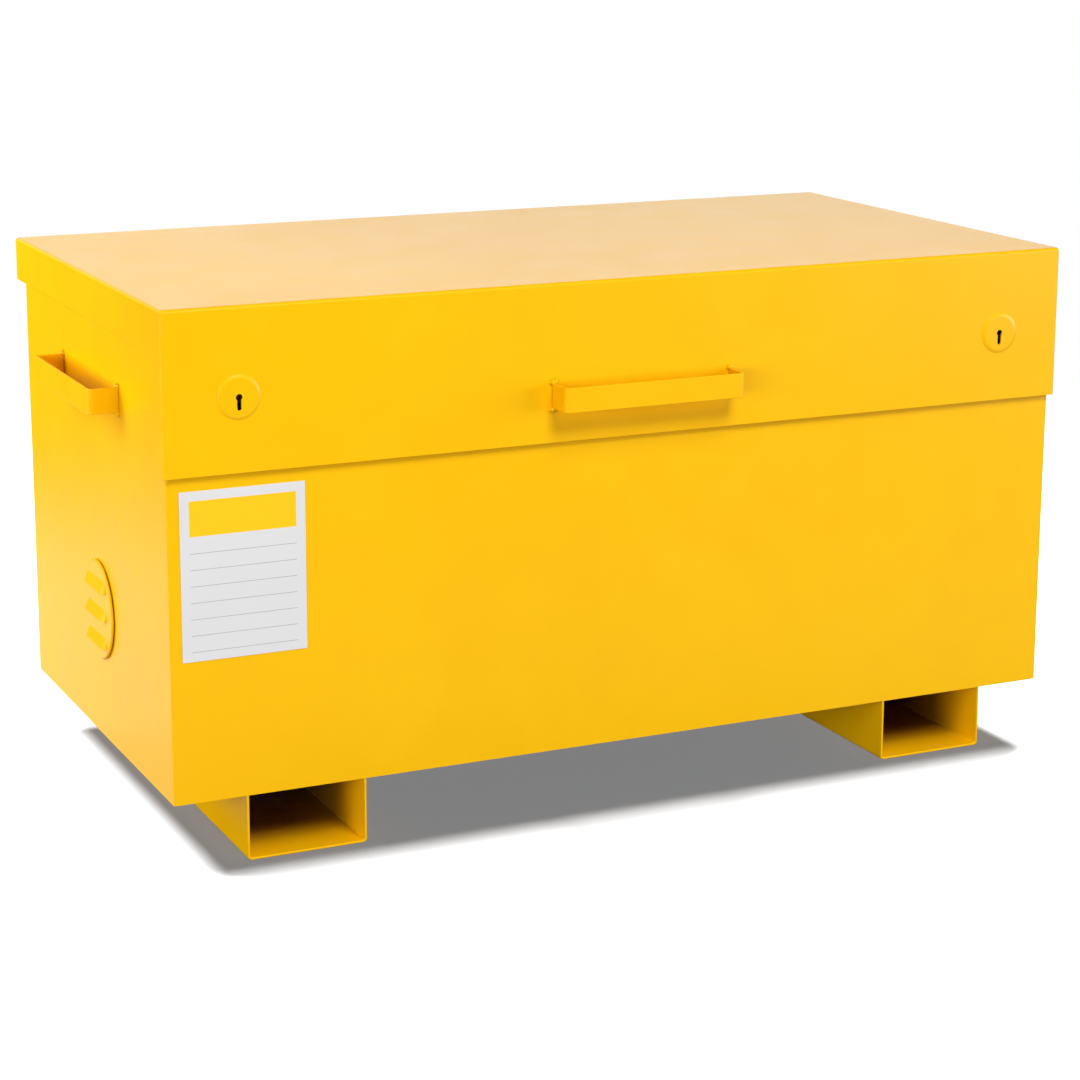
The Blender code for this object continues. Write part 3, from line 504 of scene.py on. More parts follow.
def black_rubber(name):
    """Moulded rubber with a fine matt grain and a little bloom."""
    look, shader, place = new_look(name)
    grain = place.noise(700.0, 3.0)
    bloom = place.noise(35.0, 3.0)
    bloom.tint(RUBBER_BLACK, RUBBER_BLOOM).into(shader.inputs["Base Color"])
    (0.66 + grain * 0.2).into(shader.inputs["Roughness"])
    grain.relief(0.0003, 0.4).into(shader.inputs["Normal"])
    return look


def gather(*parts):
    """Puts several meshes together as one piece."""
    whole = bmesh.new()
    for part in parts:
        spare = bpy.data.meshes.new("spare")
        part.to_mesh(spare)
        part.free()
        whole.from_mesh(spare)
        bpy.data.meshes.remove(spare)
    return whole


def louvre_hood():
    """A hood pressed out of the sheet: it slopes out from its top and opens below at an arched lip."""
    bm = bmesh.new()
    half, corner, steps = LOUVRE_LENGTH / 2, LOUVRE_CORNER, 8
    root = [(-half, 0, 0)]
    lip = [(-half + LOUVRE_TIP, 0, LOUVRE_TIP)]
    for step in range(1, steps + 1):
        bend = math.pi / 2 * step / steps
        drop = corner * (1 - math.sin(bend))
        root.append((-half + corner * (1 - math.cos(bend)), LOUVRE_HEIGHT - drop, 0))
        lip.append((-half + LOUVRE_END * (1 - math.cos(bend)), 0, LOUVRE_DEPTH * math.sin(bend)))
    edges = []
    for row in (root, lip):
        points = row + [(-x, y, z) for x, y, z in reversed(row)]
        verts = [bm.verts.new(point) for point in points]
        edges += [bm.edges.new(pair) for pair in zip(verts, verts[1:])]
    bmesh.ops.bridge_loops(bm, edges=edges)
    bmesh.ops.recalc_face_normals(bm, faces=bm.faces)
    bm.normal_update()
    if max(bm.faces, key=lambda face: face.calc_area()).normal.z < 0:
        bmesh.ops.reverse_faces(bm, faces=bm.faces)
    return bm


rubber = black_rubber("black_rubber")
for side, sign in (("left", -1), ("right", 1)):
    low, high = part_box(f"vent_gasket_{side}")
    inner_x = high.x if sign < 0 else low.x
    deep = high.x - low.x
    ring = [(VENT_HOLE + GASKET_GAP, 0), (VENT_HOLE + GASKET_WIDTH, 0),
            (VENT_HOLE + GASKET_WIDTH, deep), (VENT_HOLE + GASKET_GAP, deep)]
    lay = outward(sign, (inner_x, vent_y, vent_z))
    add_piece(f"vent_ring_{side}", turn(ring, 64, lay, ring=True), rubber, "body", "black_rubber",
              f"vent_gasket_{side}")
    low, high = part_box(f"vent_disc_{side}")
    back_x = high.x if sign < 0 else low.x
    lay = outward(sign, (back_x, vent_y, vent_z))
    inner = VENT_RADIUS - VENT_SHEET
    rim = [(0, 0), (inner, 0), (inner, -VENT_FLANGE), (VENT_RADIUS, -VENT_FLANGE)]
    for step in range(7):
        angle = math.pi / 2 * step / 6
        rim.append((VENT_RADIUS - VENT_ROUND * (1 - math.cos(angle)),
                    VENT_SHEET - VENT_ROUND * (1 - math.sin(angle))))
    rim.append((0, VENT_SHEET))
    disc = add_piece(f"vent_cover_{side}", turn(rim, 96, lay), coat, "body", "yellow_paint",
                     f"vent_disc_{side}")
    hoods = []
    for row in (-1, 0, 1):
        rise = Matrix.Translation((0, row * LOUVRE_PITCH, 0))
        drop = Matrix.Translation((0, -LOUVRE_HEIGHT / 2, 0))
        slit = block((SLIT_INSET - LOUVRE_LENGTH / 2, SLIT_LOW, -SLIT_REACH),
                     (LOUVRE_LENGTH / 2 - SLIT_INSET, SLIT_HIGH, SLIT_REACH))
        bmesh.ops.transform(slit, matrix=lay @ rise @ drop, verts=slit.verts)
        cut(disc, slit)
        hood = louvre_hood()
        proud = Matrix.Translation((0, 0, VENT_SHEET - LOUVRE_SEAT))
        bmesh.ops.transform(hood, matrix=lay @ proud @ rise @ drop, verts=hood.verts)
        hoods.append(hood)
    ease(disc, VENT_EASE)
    louvres = add_piece(f"vent_louvres_{side}", gather(*hoods), coat, "body", "yellow_paint")
    thicken(louvres, LOUVRE_SHEET)
    ease(louvres, VENT_EASE)

# Side handles: a flat steel strap bent square into a U, its two feet welded to the wall below the
# lid. The short welds are left as they were laid, and coated over with the rest.
STRAP_THICK = 0.004
STRAP_BEND = 0.008
STRAP_EASE = 0.0009
FOOT_WELD = 0.0042
FOOT_WELD_OUT = 0.0010
FOOT_WELD_RISE = 0.0016
FOOT_WELD_PAST = 0.0026


def strap(name, node, out, body):
    """A U of flat strap where a CAD handle is, open towards its panel, with welded feet."""
    low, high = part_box(node)
    out = Vector(out)
    bm = block(low, high)
    open_up(bm, -out, (0, 0, 1), (0, 0, -1))
    axis = 0 if abs(out.x) > 0.5 else 1
    face_at = high[axis] if out[axis] > 0 else low[axis]
    fold(bm, folds_at(bm, axis, face_at), STRAP_BEND, 8)
    handle = add_piece(name, bm, coat, body, "yellow_paint", node)
    thicken(handle, STRAP_THICK)
    ease(handle, STRAP_EASE, 3)
    foot = low[axis] if out[axis] > 0 else high[axis]
    along = 1 - axis
    runs = []
    for end, inward in ((low[along], 1), (high[along], -1)):
        for level in (low.z - FOOT_WELD_RISE, high.z + FOOT_WELD_RISE):
            run = []
            for reach in (-FOOT_WELD_PAST, STRAP_THICK + FOOT_WELD_PAST):
                point = Vector((0, 0, level))
                point[axis] = foot + out[axis] * FOOT_WELD_OUT
                point[along] = end + inward * reach
                run.append(point)
            runs.append(run)
    welds(f"{name}_weld", runs, FOOT_WELD, coat, body)


for side, sign in (("left", -1), ("right", 1)):
    strap(f"grab_handle_{side}", f"side_handle_{side}", (sign, 0, 0), "body")

# Label: a blank contents sheet of white vinyl on the front, with a plain yellow heading band and
# ruled lines to write on. It is stuck down flat, and its corners are cut barely round.
LABEL_FILM = 0.0005
LABEL_SEAT = 0.00005
LABEL_CORNER = 0.0008
LABEL_EASE = 0.00015
LABEL_MARGIN = 0.012
INK_EDGE = 0.0003
BAND_DROP = 0.034
BAND_HALF = 0.022
RULE_GAP = 0.0205
RULE_INK = (0.481, 0.487)
RULE_FADE = 0.001
RULES_BELOW_BAND = 0.033
RULES_ABOVE_EDGE = 0.010
VINYL = (0.690, 0.684, 0.690, 1)
VINYL_BRIGHT = (0.722, 0.714, 0.718, 1)
RULE_GREY = (0.33, 0.34, 0.36, 1)
BAND_YELLOW = (0.95, 0.56, 0.006, 1)

low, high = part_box("blank_label")
look, shader, place = new_look("label_vinyl")
x, z = place.parts()[::2]
margin = (high.x - low.x) / 2 - LABEL_MARGIN
inside = 1 - (x - (low.x + high.x) / 2).size().ramp(margin - INK_EDGE, margin + INK_EDGE)
band_z = high.z - BAND_DROP
band = inside * (1 - (z - band_z).size().ramp(BAND_HALF - INK_EDGE, BAND_HALF + INK_EDGE))
rules = (z - (low.z + LABEL_MARGIN)) / RULE_GAP
spot = (rules.math("FRACT", rules) - 0.5).size()
first_rule = band_z - RULES_BELOW_BAND
last_rule = low.z + RULES_ABOVE_EDGE
below_band = 1 - z.ramp(first_rule, first_rule + RULE_FADE)
above_edge = z.ramp(last_rule, last_rule + RULE_FADE)
ruled = inside * spot.ramp(*RULE_INK) * below_band * above_edge
age = place.noise(18.0, 3.0)
ink = ruled.tint(age.tint(VINYL, VINYL_BRIGHT), RULE_GREY)
band.tint(ink, BAND_YELLOW).into(shader.inputs["Base Color"])
(0.30 + age * 0.14).into(shader.inputs["Roughness"])
place.noise(420.0, 2.0).relief(0.0001, 0.25).into(shader.inputs["Normal"])
bm = block((low.x, high.y - LABEL_FILM, low.z), (high.x, front_y - LABEL_SEAT, high.z))
corners = [edge for edge in bm.edges if abs(edge.verts[0].co.y - edge.verts[1].co.y) > 1e-5]
fold(bm, corners, LABEL_CORNER)
label = add_piece("contents_label", bm, look, "body", "label_vinyl", "blank_label")
ease(label, LABEL_EASE)

# Lid: one 2 mm sheet folded into a shallow cap, with a deep front that covers the body's mouth and
# short returns round its ends. The corners are welded and ground, and two spot-welded channels
# stiffen the top from below.
LID_RETURN = 0.043
LID_SKIRT = 0.058
LID_BEND = 0.0045
LOCK_HOLE = 0.020
LOCK_HOLE_REACH = 0.006
CHANNEL_SPAN = 0.036
SPOT_PITCH = 0.070
SPOT_RADIUS = 0.0034
channel_low, channel_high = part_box("lid_stiffener_right")
CHANNEL_X = (channel_low.x + channel_high.x) / 2


def spot_welds(place):
    """Round dents along a channel's two flanges, where it is spot welded to the lid."""
    x, y = place.parts()[:2]
    across = (x.size() - CHANNEL_X).size() - CHANNEL_SPAN
    turns = y / SPOT_PITCH
    along = (turns.math("FRACT", turns) - 0.5) * SPOT_PITCH
    squared = across * across + along * along
    return squared.math("SQRT", squared).ramp(SPOT_RADIUS * 0.55, SPOT_RADIUS)


lid_low, lid_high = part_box("lid_shell")
skirt_z = lid_high.z - LID_SKIRT
return_y = lid_low.y + LID_RETURN
bm = block(lid_low, lid_high)
open_up(bm, (0, 0, -1))
for way in ((-1, 0, 0), (1, 0, 0), (0, 1, 0)):
    score(bm, way, (0, 0, skirt_z), (0, 0, 1))
for way in ((-1, 0, 0), (1, 0, 0)):
    score(bm, way, (0, return_y, 0), (0, 1, 0))
bm.normal_update()
below = [face for face in bm.faces if face.normal.y > -0.9 and face.calc_center_median().z < skirt_z
         and face.calc_center_median().y > return_y]
bmesh.ops.delete(bm, geom=below, context="FACES")
fold(bm, sharp_folds(bm), LID_BEND)
lid = add_piece("lid_cap", bm, coat, "lid", "yellow_paint", "lid_shell")
thicken(lid, GAUGE)
lock_x = sum(corner.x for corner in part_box("lock_rose_right")) / 2
lock_z = sum(corner.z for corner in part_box("lock_rose_right")) / 2
facing_front = Matrix.Rotation(math.pi / 2, 4, "X")
for sign in (-1, 1):
    lay = Matrix.Translation((sign * lock_x, lid_low.y, lock_z)) @ facing_front
    drill(lid, LOCK_HOLE, -LOCK_HOLE_REACH, LOCK_HOLE_REACH, 48, lay)
ease(lid, SHEET_EASE)
channel_coat = powder_coat("channel_powder_coat", dented=spot_welds)
for side in ("left", "right"):
    dress(f"lid_stiffener_{side}", channel_coat)

# Front handle: the same bent strap as at the sides, welded by its feet to the middle of the lid's
# deep front, where one hand lifts the lid. It is coated together with the lid.
strap("lid_handle", "front_handle", (0, -1, 0), "lid")

# Locks: a lever lock at each end of the lid. A raised round rose with a keyhole shows outside, and
# inside are a zinc plated box with its cover and bolt, brass levers and a brass keyway barrel.
ROSE_PROFILE = ((0, 0.0001), (0.0280, 0.0001), (0.0277, 0.0002), (0.0270, 0.0005), (0.0262, 0.0009),
                (0.0254, 0.0013), (0.0245, 0.0016), (0.0233, 0.0018), (0.0215, 0.0019), (0.0100, 0.0019),
                (0, 0.0019))
ROSE_EASE = 0.0004
KEYHOLE_RADIUS = 0.0043
KEYHOLE_SLOT = 0.0056
KEYHOLE_DROP = 0.0160
KEYHOLE_BACK = -0.004
KEYHOLE_FRONT = 0.012
SCREW_HEAD = ((0, 0.0008), (0.0012, 0.0008), (0.0014, 0.0022), (0.0022, 0.0020), (0.0030, 0.0014),
              (0.0034, 0.0004), (0.0034, 0))
COVER_SCREW = 0.007
ZINC_DULL = (0.46, 0.47, 0.48, 1)
ZINC_BRIGHT = (0.66, 0.67, 0.68, 1)
BRASS_RUBBED = (0.72, 0.50, 0.20, 1)
BRASS_STAINED = (0.48, 0.31, 0.12, 1)


def zinc_plate(name):
    """Bright zinc on steel: faint spangle, fine drawing lines and a dull bloom."""
    look, shader, place = new_look(name)
    shader.inputs["Metallic"].default_value = 1.0
    grain = place.make("ShaderNodeTexVoronoi", {}, {"Vector": place, "Scale": 240.0}).out(1)
    shade = grain.parts()[0]
    bloom = place.noise(28.0, 4.0)
    drawn = place.noise(90.0, 2.0, (1.0, 1.0, 14.0))
    (shade * 0.3 + bloom * 0.7).tint(ZINC_DULL, ZINC_BRIGHT).into(shader.inputs["Base Color"])
    (0.26 + bloom * 0.16 + shade * 0.06 + drawn * 0.05).into(shader.inputs["Roughness"])
    drawn.relief(0.0001, 0.25).into(shader.inputs["Normal"])
    return look


def worked_brass(name):
    """Stamped brass, rubbed bright in places and tarnished in others."""
    look, shader, place = new_look(name)
    shader.inputs["Metallic"].default_value = 1.0
    stain = place.noise(60.0, 4.0)
    drawn = place.noise(120.0, 2.0, (1.0, 9.0, 1.0))
    stain.ramp(0.4, 0.65).tint(BRASS_RUBBED, BRASS_STAINED).into(shader.inputs["Base Color"])
    (0.24 + stain * 0.2 + drawn * 0.06).into(shader.inputs["Roughness"])
    drawn.relief(0.0001, 0.3).into(shader.inputs["Normal"])
    return look


def screw(place, turned):
    """A pan head with a round socket, standing on a face and turned to look away from it."""
    return turn(SCREW_HEAD, 24, Matrix.Translation(place) @ turned)


zinc = zinc_plate("zinc_plate")
brass = worked_brass("worked_brass")
facing_back = Matrix.Rotation(-math.pi / 2, 4, "X")
for side, sign in (("left", -1), ("right", 1)):
    for node in ("lock_case", "lock_cover", "lock_bolt", "lock_keeper"):
        dress(f"{node}_{side}", zinc)
    for node in ("lever_pack", "lock_curtain"):
        dress(f"{node}_{side}", brass)
    lay = Matrix.Translation((sign * lock_x, lid_low.y, lock_z)) @ facing_front
    rose = add_piece(f"lock_plate_{side}", turn(ROSE_PROFILE, 96, lay), coat, "lid", "yellow_paint",
                     f"lock_rose_{side}")
    drill(rose, KEYHOLE_RADIUS, KEYHOLE_BACK, KEYHOLE_FRONT, 32, lay)
    slot = block((-KEYHOLE_SLOT / 2, -KEYHOLE_DROP, KEYHOLE_BACK), (KEYHOLE_SLOT / 2, 0, KEYHOLE_FRONT))
    ends = [edge for edge in slot.edges if lies(edge, 1, -KEYHOLE_DROP)
            and not lies(edge, 2, KEYHOLE_BACK) and not lies(edge, 2, KEYHOLE_FRONT)]
    fold(slot, ends, KEYHOLE_SLOT / 2 - 0.0001, 8)
    bmesh.ops.transform(slot, matrix=lay, verts=slot.verts)
    cut(rose, slot)
    ease(rose, ROSE_EASE)
    low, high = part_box(f"lock_cover_{side}")
    screws = []
    for x in (low.x + COVER_SCREW, high.x - COVER_SCREW):
        for z in (low.z + COVER_SCREW, high.z - COVER_SCREW):
            screws.append(screw((x, high.y, z), facing_back))
    add_piece(f"lock_screws_{side}", gather(*screws), zinc, "lid", "zinc_steel")

# Hinges: three weld-on hinges of 4 mm plate and turned knuckles, hidden in the gap behind the lid.
# The fixed leaf is welded to the rear wall below the skirt, and a headed pin goes through each.
KNUCKLE_RADIUS = 0.010
KNUCKLE_LENGTH = 0.0327
KNUCKLE_EASE = 0.0008
KNUCKLE_TAB = 0.004
PIN_BORE = 0.0063
LEAF_THICK = 0.004
LEAF_GAP = 0.011
LEAF_LAP = 0.002
LEAF_EASE = 0.0006
HINGE_WELD = 0.0022
HINGE_WELD_OUT = 0.0004
hinge_y, hinge_z = pivots["lid_hinge"].y, pivots["lid_hinge"].z


def plate(low, high):
    """A flat plate with eased edges."""
    bm = block(low, high)
    fold(bm, bm.edges[:], LEAF_EASE, 2)
    return bm


def knuckle(start):
    """A short drilled barrel along X on the hinge line."""
    end = start + KNUCKLE_LENGTH
    shoulder = KNUCKLE_RADIUS - KNUCKLE_EASE
    profile = [(PIN_BORE, start), (shoulder, start), (KNUCKLE_RADIUS, start + KNUCKLE_EASE),
               (KNUCKLE_RADIUS, end - KNUCKLE_EASE), (shoulder, end), (PIN_BORE, end)]
    lay = Matrix.Translation((0, hinge_y, hinge_z)) @ Matrix.Rotation(math.pi / 2, 4, "Y")
    return turn(profile, 48, lay, ring=True)


for number in (1, 2, 3):
    low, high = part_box(f"hinge_leaf_body_{number}")
    back = low.y + LEAF_THICK
    parts = [plate(low, (high.x, back, hinge_z - LEAF_GAP))]
    for start in (low.x, high.x - KNUCKLE_LENGTH):
        parts.append(plate((start, low.y, hinge_z - LEAF_GAP - LEAF_LAP),
                           (start + KNUCKLE_LENGTH, back, hinge_z + KNUCKLE_TAB)))
        parts.append(knuckle(start))
    leaf = add_piece(f"hinge_fixed_leaf_{number}", gather(*parts), coat, "body", "yellow_paint",
                     f"hinge_leaf_body_{number}")
    keep_flat(leaf)
    edge_y = low.y + HINGE_WELD_OUT
    foot_z = low.z - HINGE_WELD_OUT
    runs = [((low.x, edge_y, foot_z), (high.x, edge_y, foot_z))]
    for x in (low.x - HINGE_WELD_OUT, high.x + HINGE_WELD_OUT):
        runs.append(((x, edge_y, low.z), (x, edge_y, hinge_z - LEAF_GAP)))
    welds(f"hinge_weld_{number}", runs, HINGE_WELD, coat, "body")
    low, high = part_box(f"hinge_leaf_lid_{number}")
    front = high.y - LEAF_THICK
    middle = (low.x + high.x) / 2 - KNUCKLE_LENGTH / 2
    parts = [plate((low.x, front, hinge_z + LEAF_GAP), high), knuckle(middle),
             plate((middle, front, hinge_z - KNUCKLE_TAB),
                   (middle + KNUCKLE_LENGTH, high.y, hinge_z + LEAF_GAP + LEAF_LAP))]
    leaf = add_piece(f"hinge_lid_leaf_{number}", gather(*parts), coat, "lid", "yellow_paint",
                     f"hinge_leaf_lid_{number}")
    keep_flat(leaf)
    dress(f"hinge_pin_{number}", zinc)

# Gas struts: a black painted tube on a stud at the wall and a chromed rod on a stud under the lid.
# The tube's mouth is rolled over its seal, both ends have drilled eyes, and screws hold the plates.
TUBE_RADIUS = 0.009
TUBE_END = 0.2963
TUBE_PROFILE = ((0, 0.0072), (0.0062, 0.0072), (0.0062, 0.0120), (0.0076, 0.0135), (TUBE_RADIUS, 0.0160),
                (TUBE_RADIUS, TUBE_END - 0.0135), (0.0083, TUBE_END - 0.0120),
                (0.0083, TUBE_END - 0.0105), (TUBE_RADIUS, TUBE_END - 0.0090),
                (TUBE_RADIUS, TUBE_END - 0.0022), (0.0084, TUBE_END - 0.0007), (0.0072, TUBE_END),
                (0.0056, TUBE_END - 0.0004), (0.0046, TUBE_END - 0.0030), (0.0046, TUBE_END - 0.0200))
ROD_RADIUS = 0.004
ROD_END = 0.3453
ROD_PROFILE = ((0, -ROD_END), (ROD_RADIUS, -ROD_END), (ROD_RADIUS, -0.0180), (0.0058, -0.0172),
               (0.0062, -0.0150), (0.0062, -0.0072), (0, -0.0072))
EYE_PROFILE = ((0.0043, -0.0050), (0.0082, -0.0050), (0.0090, -0.0042), (0.0090, 0.0042),
               (0.0082, 0.0050), (0.0043, 0.0050))
BRACKET_THICK = 0.003
BRACKET_SCREW = 0.0115
TUBE_BLACK = (0.010, 0.010, 0.011, 1)
TUBE_BLACK_WORN = (0.022, 0.022, 0.024, 1)
CHROME_FILMED = (0.70, 0.71, 0.72, 1)
CHROME_CLEAN = (0.80, 0.80, 0.80, 1)


def satin_black(name):
    """Stoved black paint on drawn tube."""
    look, shader, place = new_look(name)
    cloud = place.noise(40.0, 3.0)
    peel = place.noise(600.0, 2.0)
    cloud.tint(TUBE_BLACK, TUBE_BLACK_WORN).into(shader.inputs["Base Color"])
    (0.30 + cloud * 0.12 + peel * 0.05).into(shader.inputs["Roughness"])
    peel.relief(0.0002, 0.2).into(shader.inputs["Normal"])
    return look


def hard_chrome(name):
    """Ground and chromed rod with the faintest oil film."""
    look, shader, place = new_look(name)
    shader.inputs["Metallic"].default_value = 1.0
    film = place.noise(80.0, 3.0)
    film.tint(CHROME_FILMED, CHROME_CLEAN).into(shader.inputs["Base Color"])
    (0.07 + film * 0.10).into(shader.inputs["Roughness"])
    return look


def strut_half(profile, steps, stud, tilt):
    """A length turned along the strut, with the drilled eye that sits across it on a stud."""
    across = Matrix.Rotation(math.pi / 2, 4, "Y")
    length = turn(profile, steps, Matrix.Translation(stud) @ tilt)
    eye = turn(EYE_PROFILE, 48, Matrix.Translation(stud) @ across, ring=True)
    return gather(length, eye)


black = satin_black("satin_black")
chrome = hard_chrome("hard_chrome")
facing_down = Matrix.Rotation(math.pi, 4, "X")
for side, sign in (("left", -1), ("right", 1)):
    foot, head = pivots[f"strut_foot_{side}"], pivots[f"strut_head_{side}"]
    tilt = (head - foot).to_track_quat("Z", "Y").to_matrix().to_4x4()
    barrel = add_piece(f"strut_cylinder_{side}", strut_half(TUBE_PROFILE, 48, foot, tilt), black,
                       f"tube_{side}", "black_paint", f"strut_tube_{side}", f"strut_gland_{side}")
    keep_flat(barrel)
    stem = add_piece(f"strut_stem_{side}", strut_half(ROD_PROFILE, 40, head, tilt), chrome,
                     f"rod_{side}", "chrome", f"strut_rod_{side}")
    keep_flat(stem)
    for node in ("strut_base", "strut_head"):
        dress(f"{node}_{side}", zinc)
    low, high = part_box(f"strut_base_{side}")
    face_x = low.x + BRACKET_THICK if sign < 0 else high.x - BRACKET_THICK
    facing_in = Matrix.Rotation(-sign * math.pi / 2, 4, "Y")
    screws = []
    for y in (foot.y - BRACKET_SCREW, foot.y + BRACKET_SCREW):
        for z in (foot.z - BRACKET_SCREW, foot.z + BRACKET_SCREW):
            screws.append(screw((face_x, y, z), facing_in))
    add_piece(f"strut_base_screws_{side}", gather(*screws), zinc, "body", "zinc_steel")
    low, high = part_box(f"strut_head_{side}")
    inner_x = high.x - BRACKET_SCREW if sign < 0 else low.x + BRACKET_SCREW
    screws = []
    for y in (head.y - BRACKET_SCREW, head.y + BRACKET_SCREW):
        screws.append(screw((inner_x, y, high.z - BRACKET_THICK), facing_down))
    add_piece(f"strut_head_screws_{side}", gather(*screws), zinc, "lid", "zinc_steel")

# Lid buffers: small black rubber pads on the side rims that the closed lid comes down on. They are
# moulded with round edges and stuck to the rims.
PAD_ROUND = 0.0012
for side in ("left", "right"):
    low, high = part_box(f"lid_buffer_{side}")
    bm = block(low, high)
    fold(bm, bm.edges[:], PAD_ROUND, 4)
    pad = add_piece(f"buffer_pad_{side}", bm, rubber, "body", "black_rubber", f"lid_buffer_{side}")
    keep_flat(pad)

# Studio: a plain white floor that fades into a white surround, with soft boxes all round the box.
# Gloss sees the surround bright near the horizon, with a dark flag at the back on the left. Three
# lamps light the floor alone, and only what all three of them miss is in its shadow.
FLOOR_REACH = 3.2
FLOOR_FADE = (1.4, 2.8)
SHEEN_FADE = (1.2, 2.7)
FLOOR_LIFT = (0.206, 0.208, 0.210, 1)
AMBIENT = 0.08
LIGHT_REACH = 4.5
AIM = Vector((0, 0, 0.35))
SUN_REACH = 3
FLOOR_SUNS = (("floor_sun", 3.3, 0, 6, 24), ("floor_sun_left", 25, 28, 14, 28),
              ("floor_sun_right", 25, -28, 10, 28))


def grey(level):
    """A plain grey, black at 0 and white at 1."""
    return level, level, level, 1


def bare_tree(owner):
    """The emptied shader of a material or a world."""
    owner.use_nodes = True
    owner.node_tree.nodes.clear()
    return owner.node_tree


def rays(place):
    """Whether the camera looks, and whether it looks by way of a mirror or through a glass."""
    path = place.make("ShaderNodeLightPath", {}, {})
    return path.out("Is Camera Ray"), path.out("Is Glossy Ray") + path.out("Is Transmission Ray")


bm = bmesh.new()
bmesh.ops.create_circle(bm, cap_ends=True, segments=96, radius=FLOOR_REACH)
mesh = bpy.data.meshes.new("floor")
bm.to_mesh(mesh)
bm.free()
floor = bpy.data.objects.new("floor", mesh)
bpy.context.scene.collection.objects.link(floor)
look = bpy.data.materials.new("floor_white")
tree = bare_tree(look)
place = Wire(tree.nodes.new("ShaderNodeTexCoord").outputs["Object"])
x, y = place.parts()[:2]
seen, mirrored = rays(place)
distance = place.make("ShaderNodeVectorMath", {"operation": "LENGTH"}, {0: place}).out(1)
bounce = (y - x * 0.5).ramp(-0.7, 0.9).tint(grey(0.007), grey(0.014))
sheen = distance.ramp(*SHEEN_FADE).tint(grey(0.0425), grey(0.006))
pale = seen.tint(sheen, grey(0.15))
matt = place.make("ShaderNodeBsdfDiffuse", {}, {"Color": (seen + mirrored).tint(bounce, pale)})
lift = place.make("ShaderNodeEmission", {}, {"Color": FLOOR_LIFT, "Strength": seen})
lifted = place.make("ShaderNodeAddShader", {}, {0: matt, 1: lift})
clear = place.make("ShaderNodeBsdfTransparent", {}, {})
faded = place.make("ShaderNodeMixShader", {}, {0: distance.ramp(*FLOOR_FADE), 1: lifted, 2: clear})
faded.into(tree.nodes.new("ShaderNodeOutputMaterial").inputs["Surface"])
floor.data.materials.append(look)

world = bpy.data.worlds.new("studio")
bpy.context.scene.world = world
tree = bare_tree(world)
place = Wire(tree.nodes.new("ShaderNodeTexCoord").outputs["Generated"])
x, y, z = place.parts()
seen, mirrored = rays(place)
flag = (1 - x.ramp(-0.34, 0.0)) * y.ramp(0.3, 0.7)
overhead = z.ramp(0.28, 0.55)
backdrop = z.ramp(-0.05, 0.12) * (1 - overhead * 0.84) * (0.97 - flag * 0.85) + 0.03
ambient = place.make("ShaderNodeBackground", {}, {"Color": grey(1), "Strength": AMBIENT})
bright = seen + mirrored * backdrop
white = place.make("ShaderNodeBackground", {}, {"Color": grey(1), "Strength": bright})
surround = place.make("ShaderNodeMixShader", {}, {0: seen + mirrored, 1: ambient, 2: white})
surround.into(tree.nodes.new("ShaderNodeOutputWorld").inputs["Surface"])

floor_only = bpy.data.collections.new("floor_light")
floor_only.objects.link(floor)
not_floor = bpy.data.collections.new("box_light")
not_floor.objects.link(floor)
not_floor.collection_objects[0].light_linking.link_state = "EXCLUDE"


def hang(name, lamp, spot, away, lit):
    """Hangs a lamp at a spot, turned to shine back along a direction on what a collection lists."""
    item = bpy.data.objects.new(name, lamp)
    item.location = spot
    item.rotation_euler = (-away).to_track_quat("-Z", "Y").to_euler()
    bpy.context.scene.collection.objects.link(item)
    item.light_linking.receiver_collection = lit
    return item


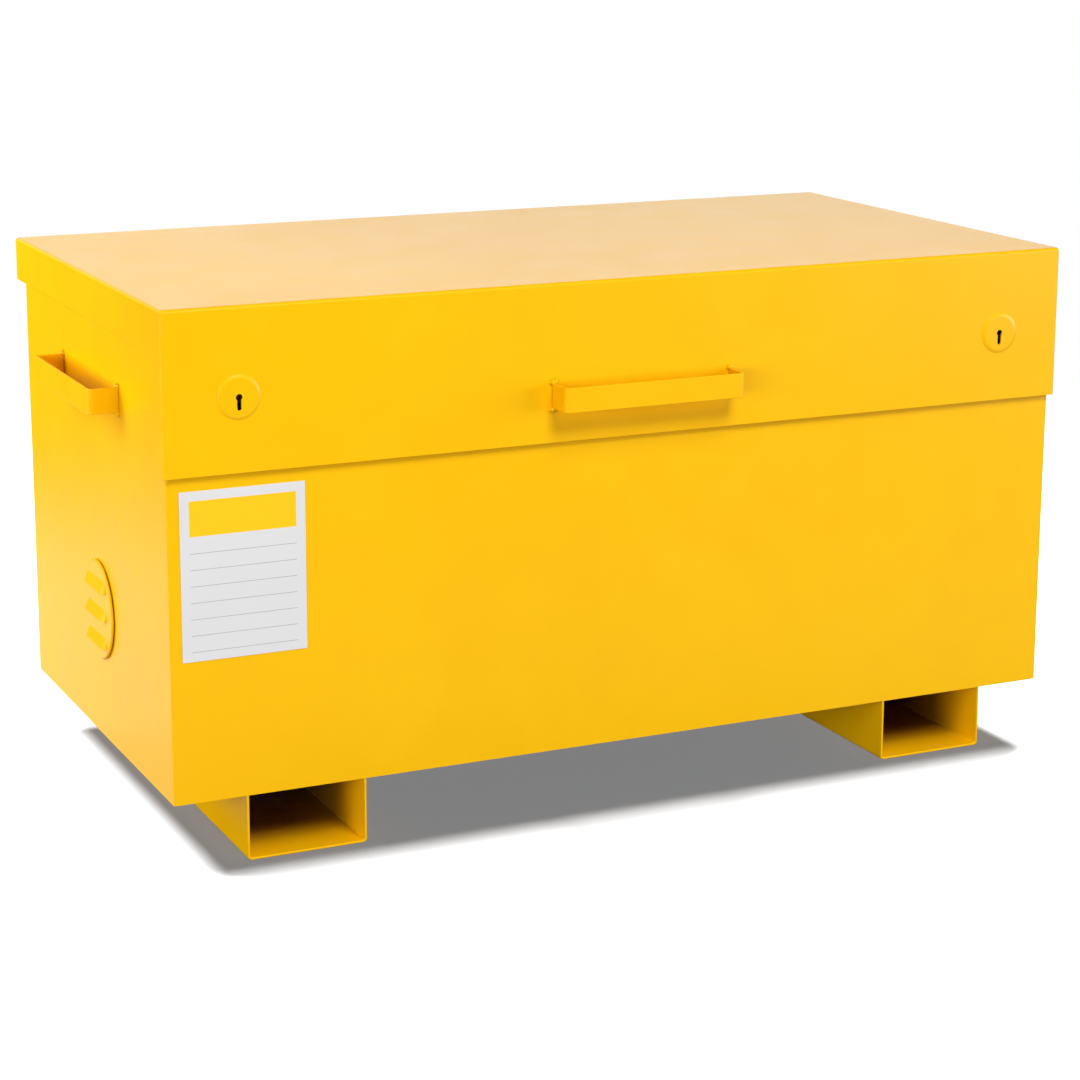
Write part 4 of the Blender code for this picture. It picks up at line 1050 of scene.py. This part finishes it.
def soft_light(name, bearing, rise, wide, high, power, mirrored=False, reach=LIGHT_REACH):
    """A soft box at a bearing from the front and a rise above the floor, aimed at the middle."""
    bearing, rise = math.radians(bearing), math.radians(rise)
    level = math.cos(rise)
    away = Vector((-math.sin(bearing) * level, -math.cos(bearing) * level, math.sin(rise)))
    lamp = bpy.data.lights.new(name, "AREA")
    lamp.shape = "RECTANGLE"
    lamp.size = wide
    lamp.size_y = high
    lamp.energy = power
    hang(name, lamp, AIM + away * reach, away, not_floor).visible_glossy = mirrored


soft_light("left_box", 112, 20, 1.0, 1.6, 32, reach=2.2)
soft_light("fill_box", 54, 6, 3.4, 1.3, 111)
soft_light("front_box", 0, 46, 1.6, 1.6, 107)
soft_light("front_strip", -5, 37, 0.9, 0.9, 24, True)
soft_light("right_box", -58, 7, 3.4, 1.3, 97, True)
soft_light("far_box", -115, 9, 1.8, 1.8, 115)
soft_light("rear_panel", -156, 16, 3.4, 3.4, 25, True)
for name, lean, side, spread, power in FLOOR_SUNS:
    sun = bpy.data.lights.new(name, "SUN")
    sun.energy = power
    sun.angle = math.radians(spread)
    away = Vector((-math.tan(math.radians(side)), math.tan(math.radians(lean)), 1))
    hang(name, sun, away * SUN_REACH, away, floor_only)

# Camera: it stands where the photograph was taken from, as solved from the box's straight edges.
# The lens has no blur, and a small downward shift gives the photograph's framing.
FOCAL_PIXELS = 2717.8
FRAME_PIXELS = 1080
SHIFT_PIXELS = -100
SENSOR_WIDTH = 36.0
YAW = math.radians(25.107)
PITCH = math.radians(12.341)
ROLL = math.radians(0.210)
CAMERA_PLACE = (-1.5642, -3.3420, 1.2331)
lens = bpy.data.cameras.new("camera")
lens.sensor_width = SENSOR_WIDTH
lens.lens = FOCAL_PIXELS / FRAME_PIXELS * SENSOR_WIDTH
lens.shift_y = SHIFT_PIXELS / FRAME_PIXELS
lens.clip_end = 100
camera = bpy.data.objects.new("camera", lens)
ahead = Vector((math.sin(YAW) * math.cos(PITCH), math.cos(YAW) * math.cos(PITCH), -math.sin(PITCH)))
right = Vector((math.cos(YAW), -math.sin(YAW), 0))
above = right.cross(ahead)
level = math.cos(ROLL) * right + math.sin(ROLL) * above
raised = math.cos(ROLL) * above - math.sin(ROLL) * right
turned = Matrix((level, raised, -ahead)).transposed().to_4x4()
camera.matrix_world = Matrix.Translation(CAMERA_PLACE) @ turned
bpy.context.scene.collection.objects.link(camera)
bpy.context.scene.camera = camera
bpy.context.scene.view_settings.view_transform = "Standard"
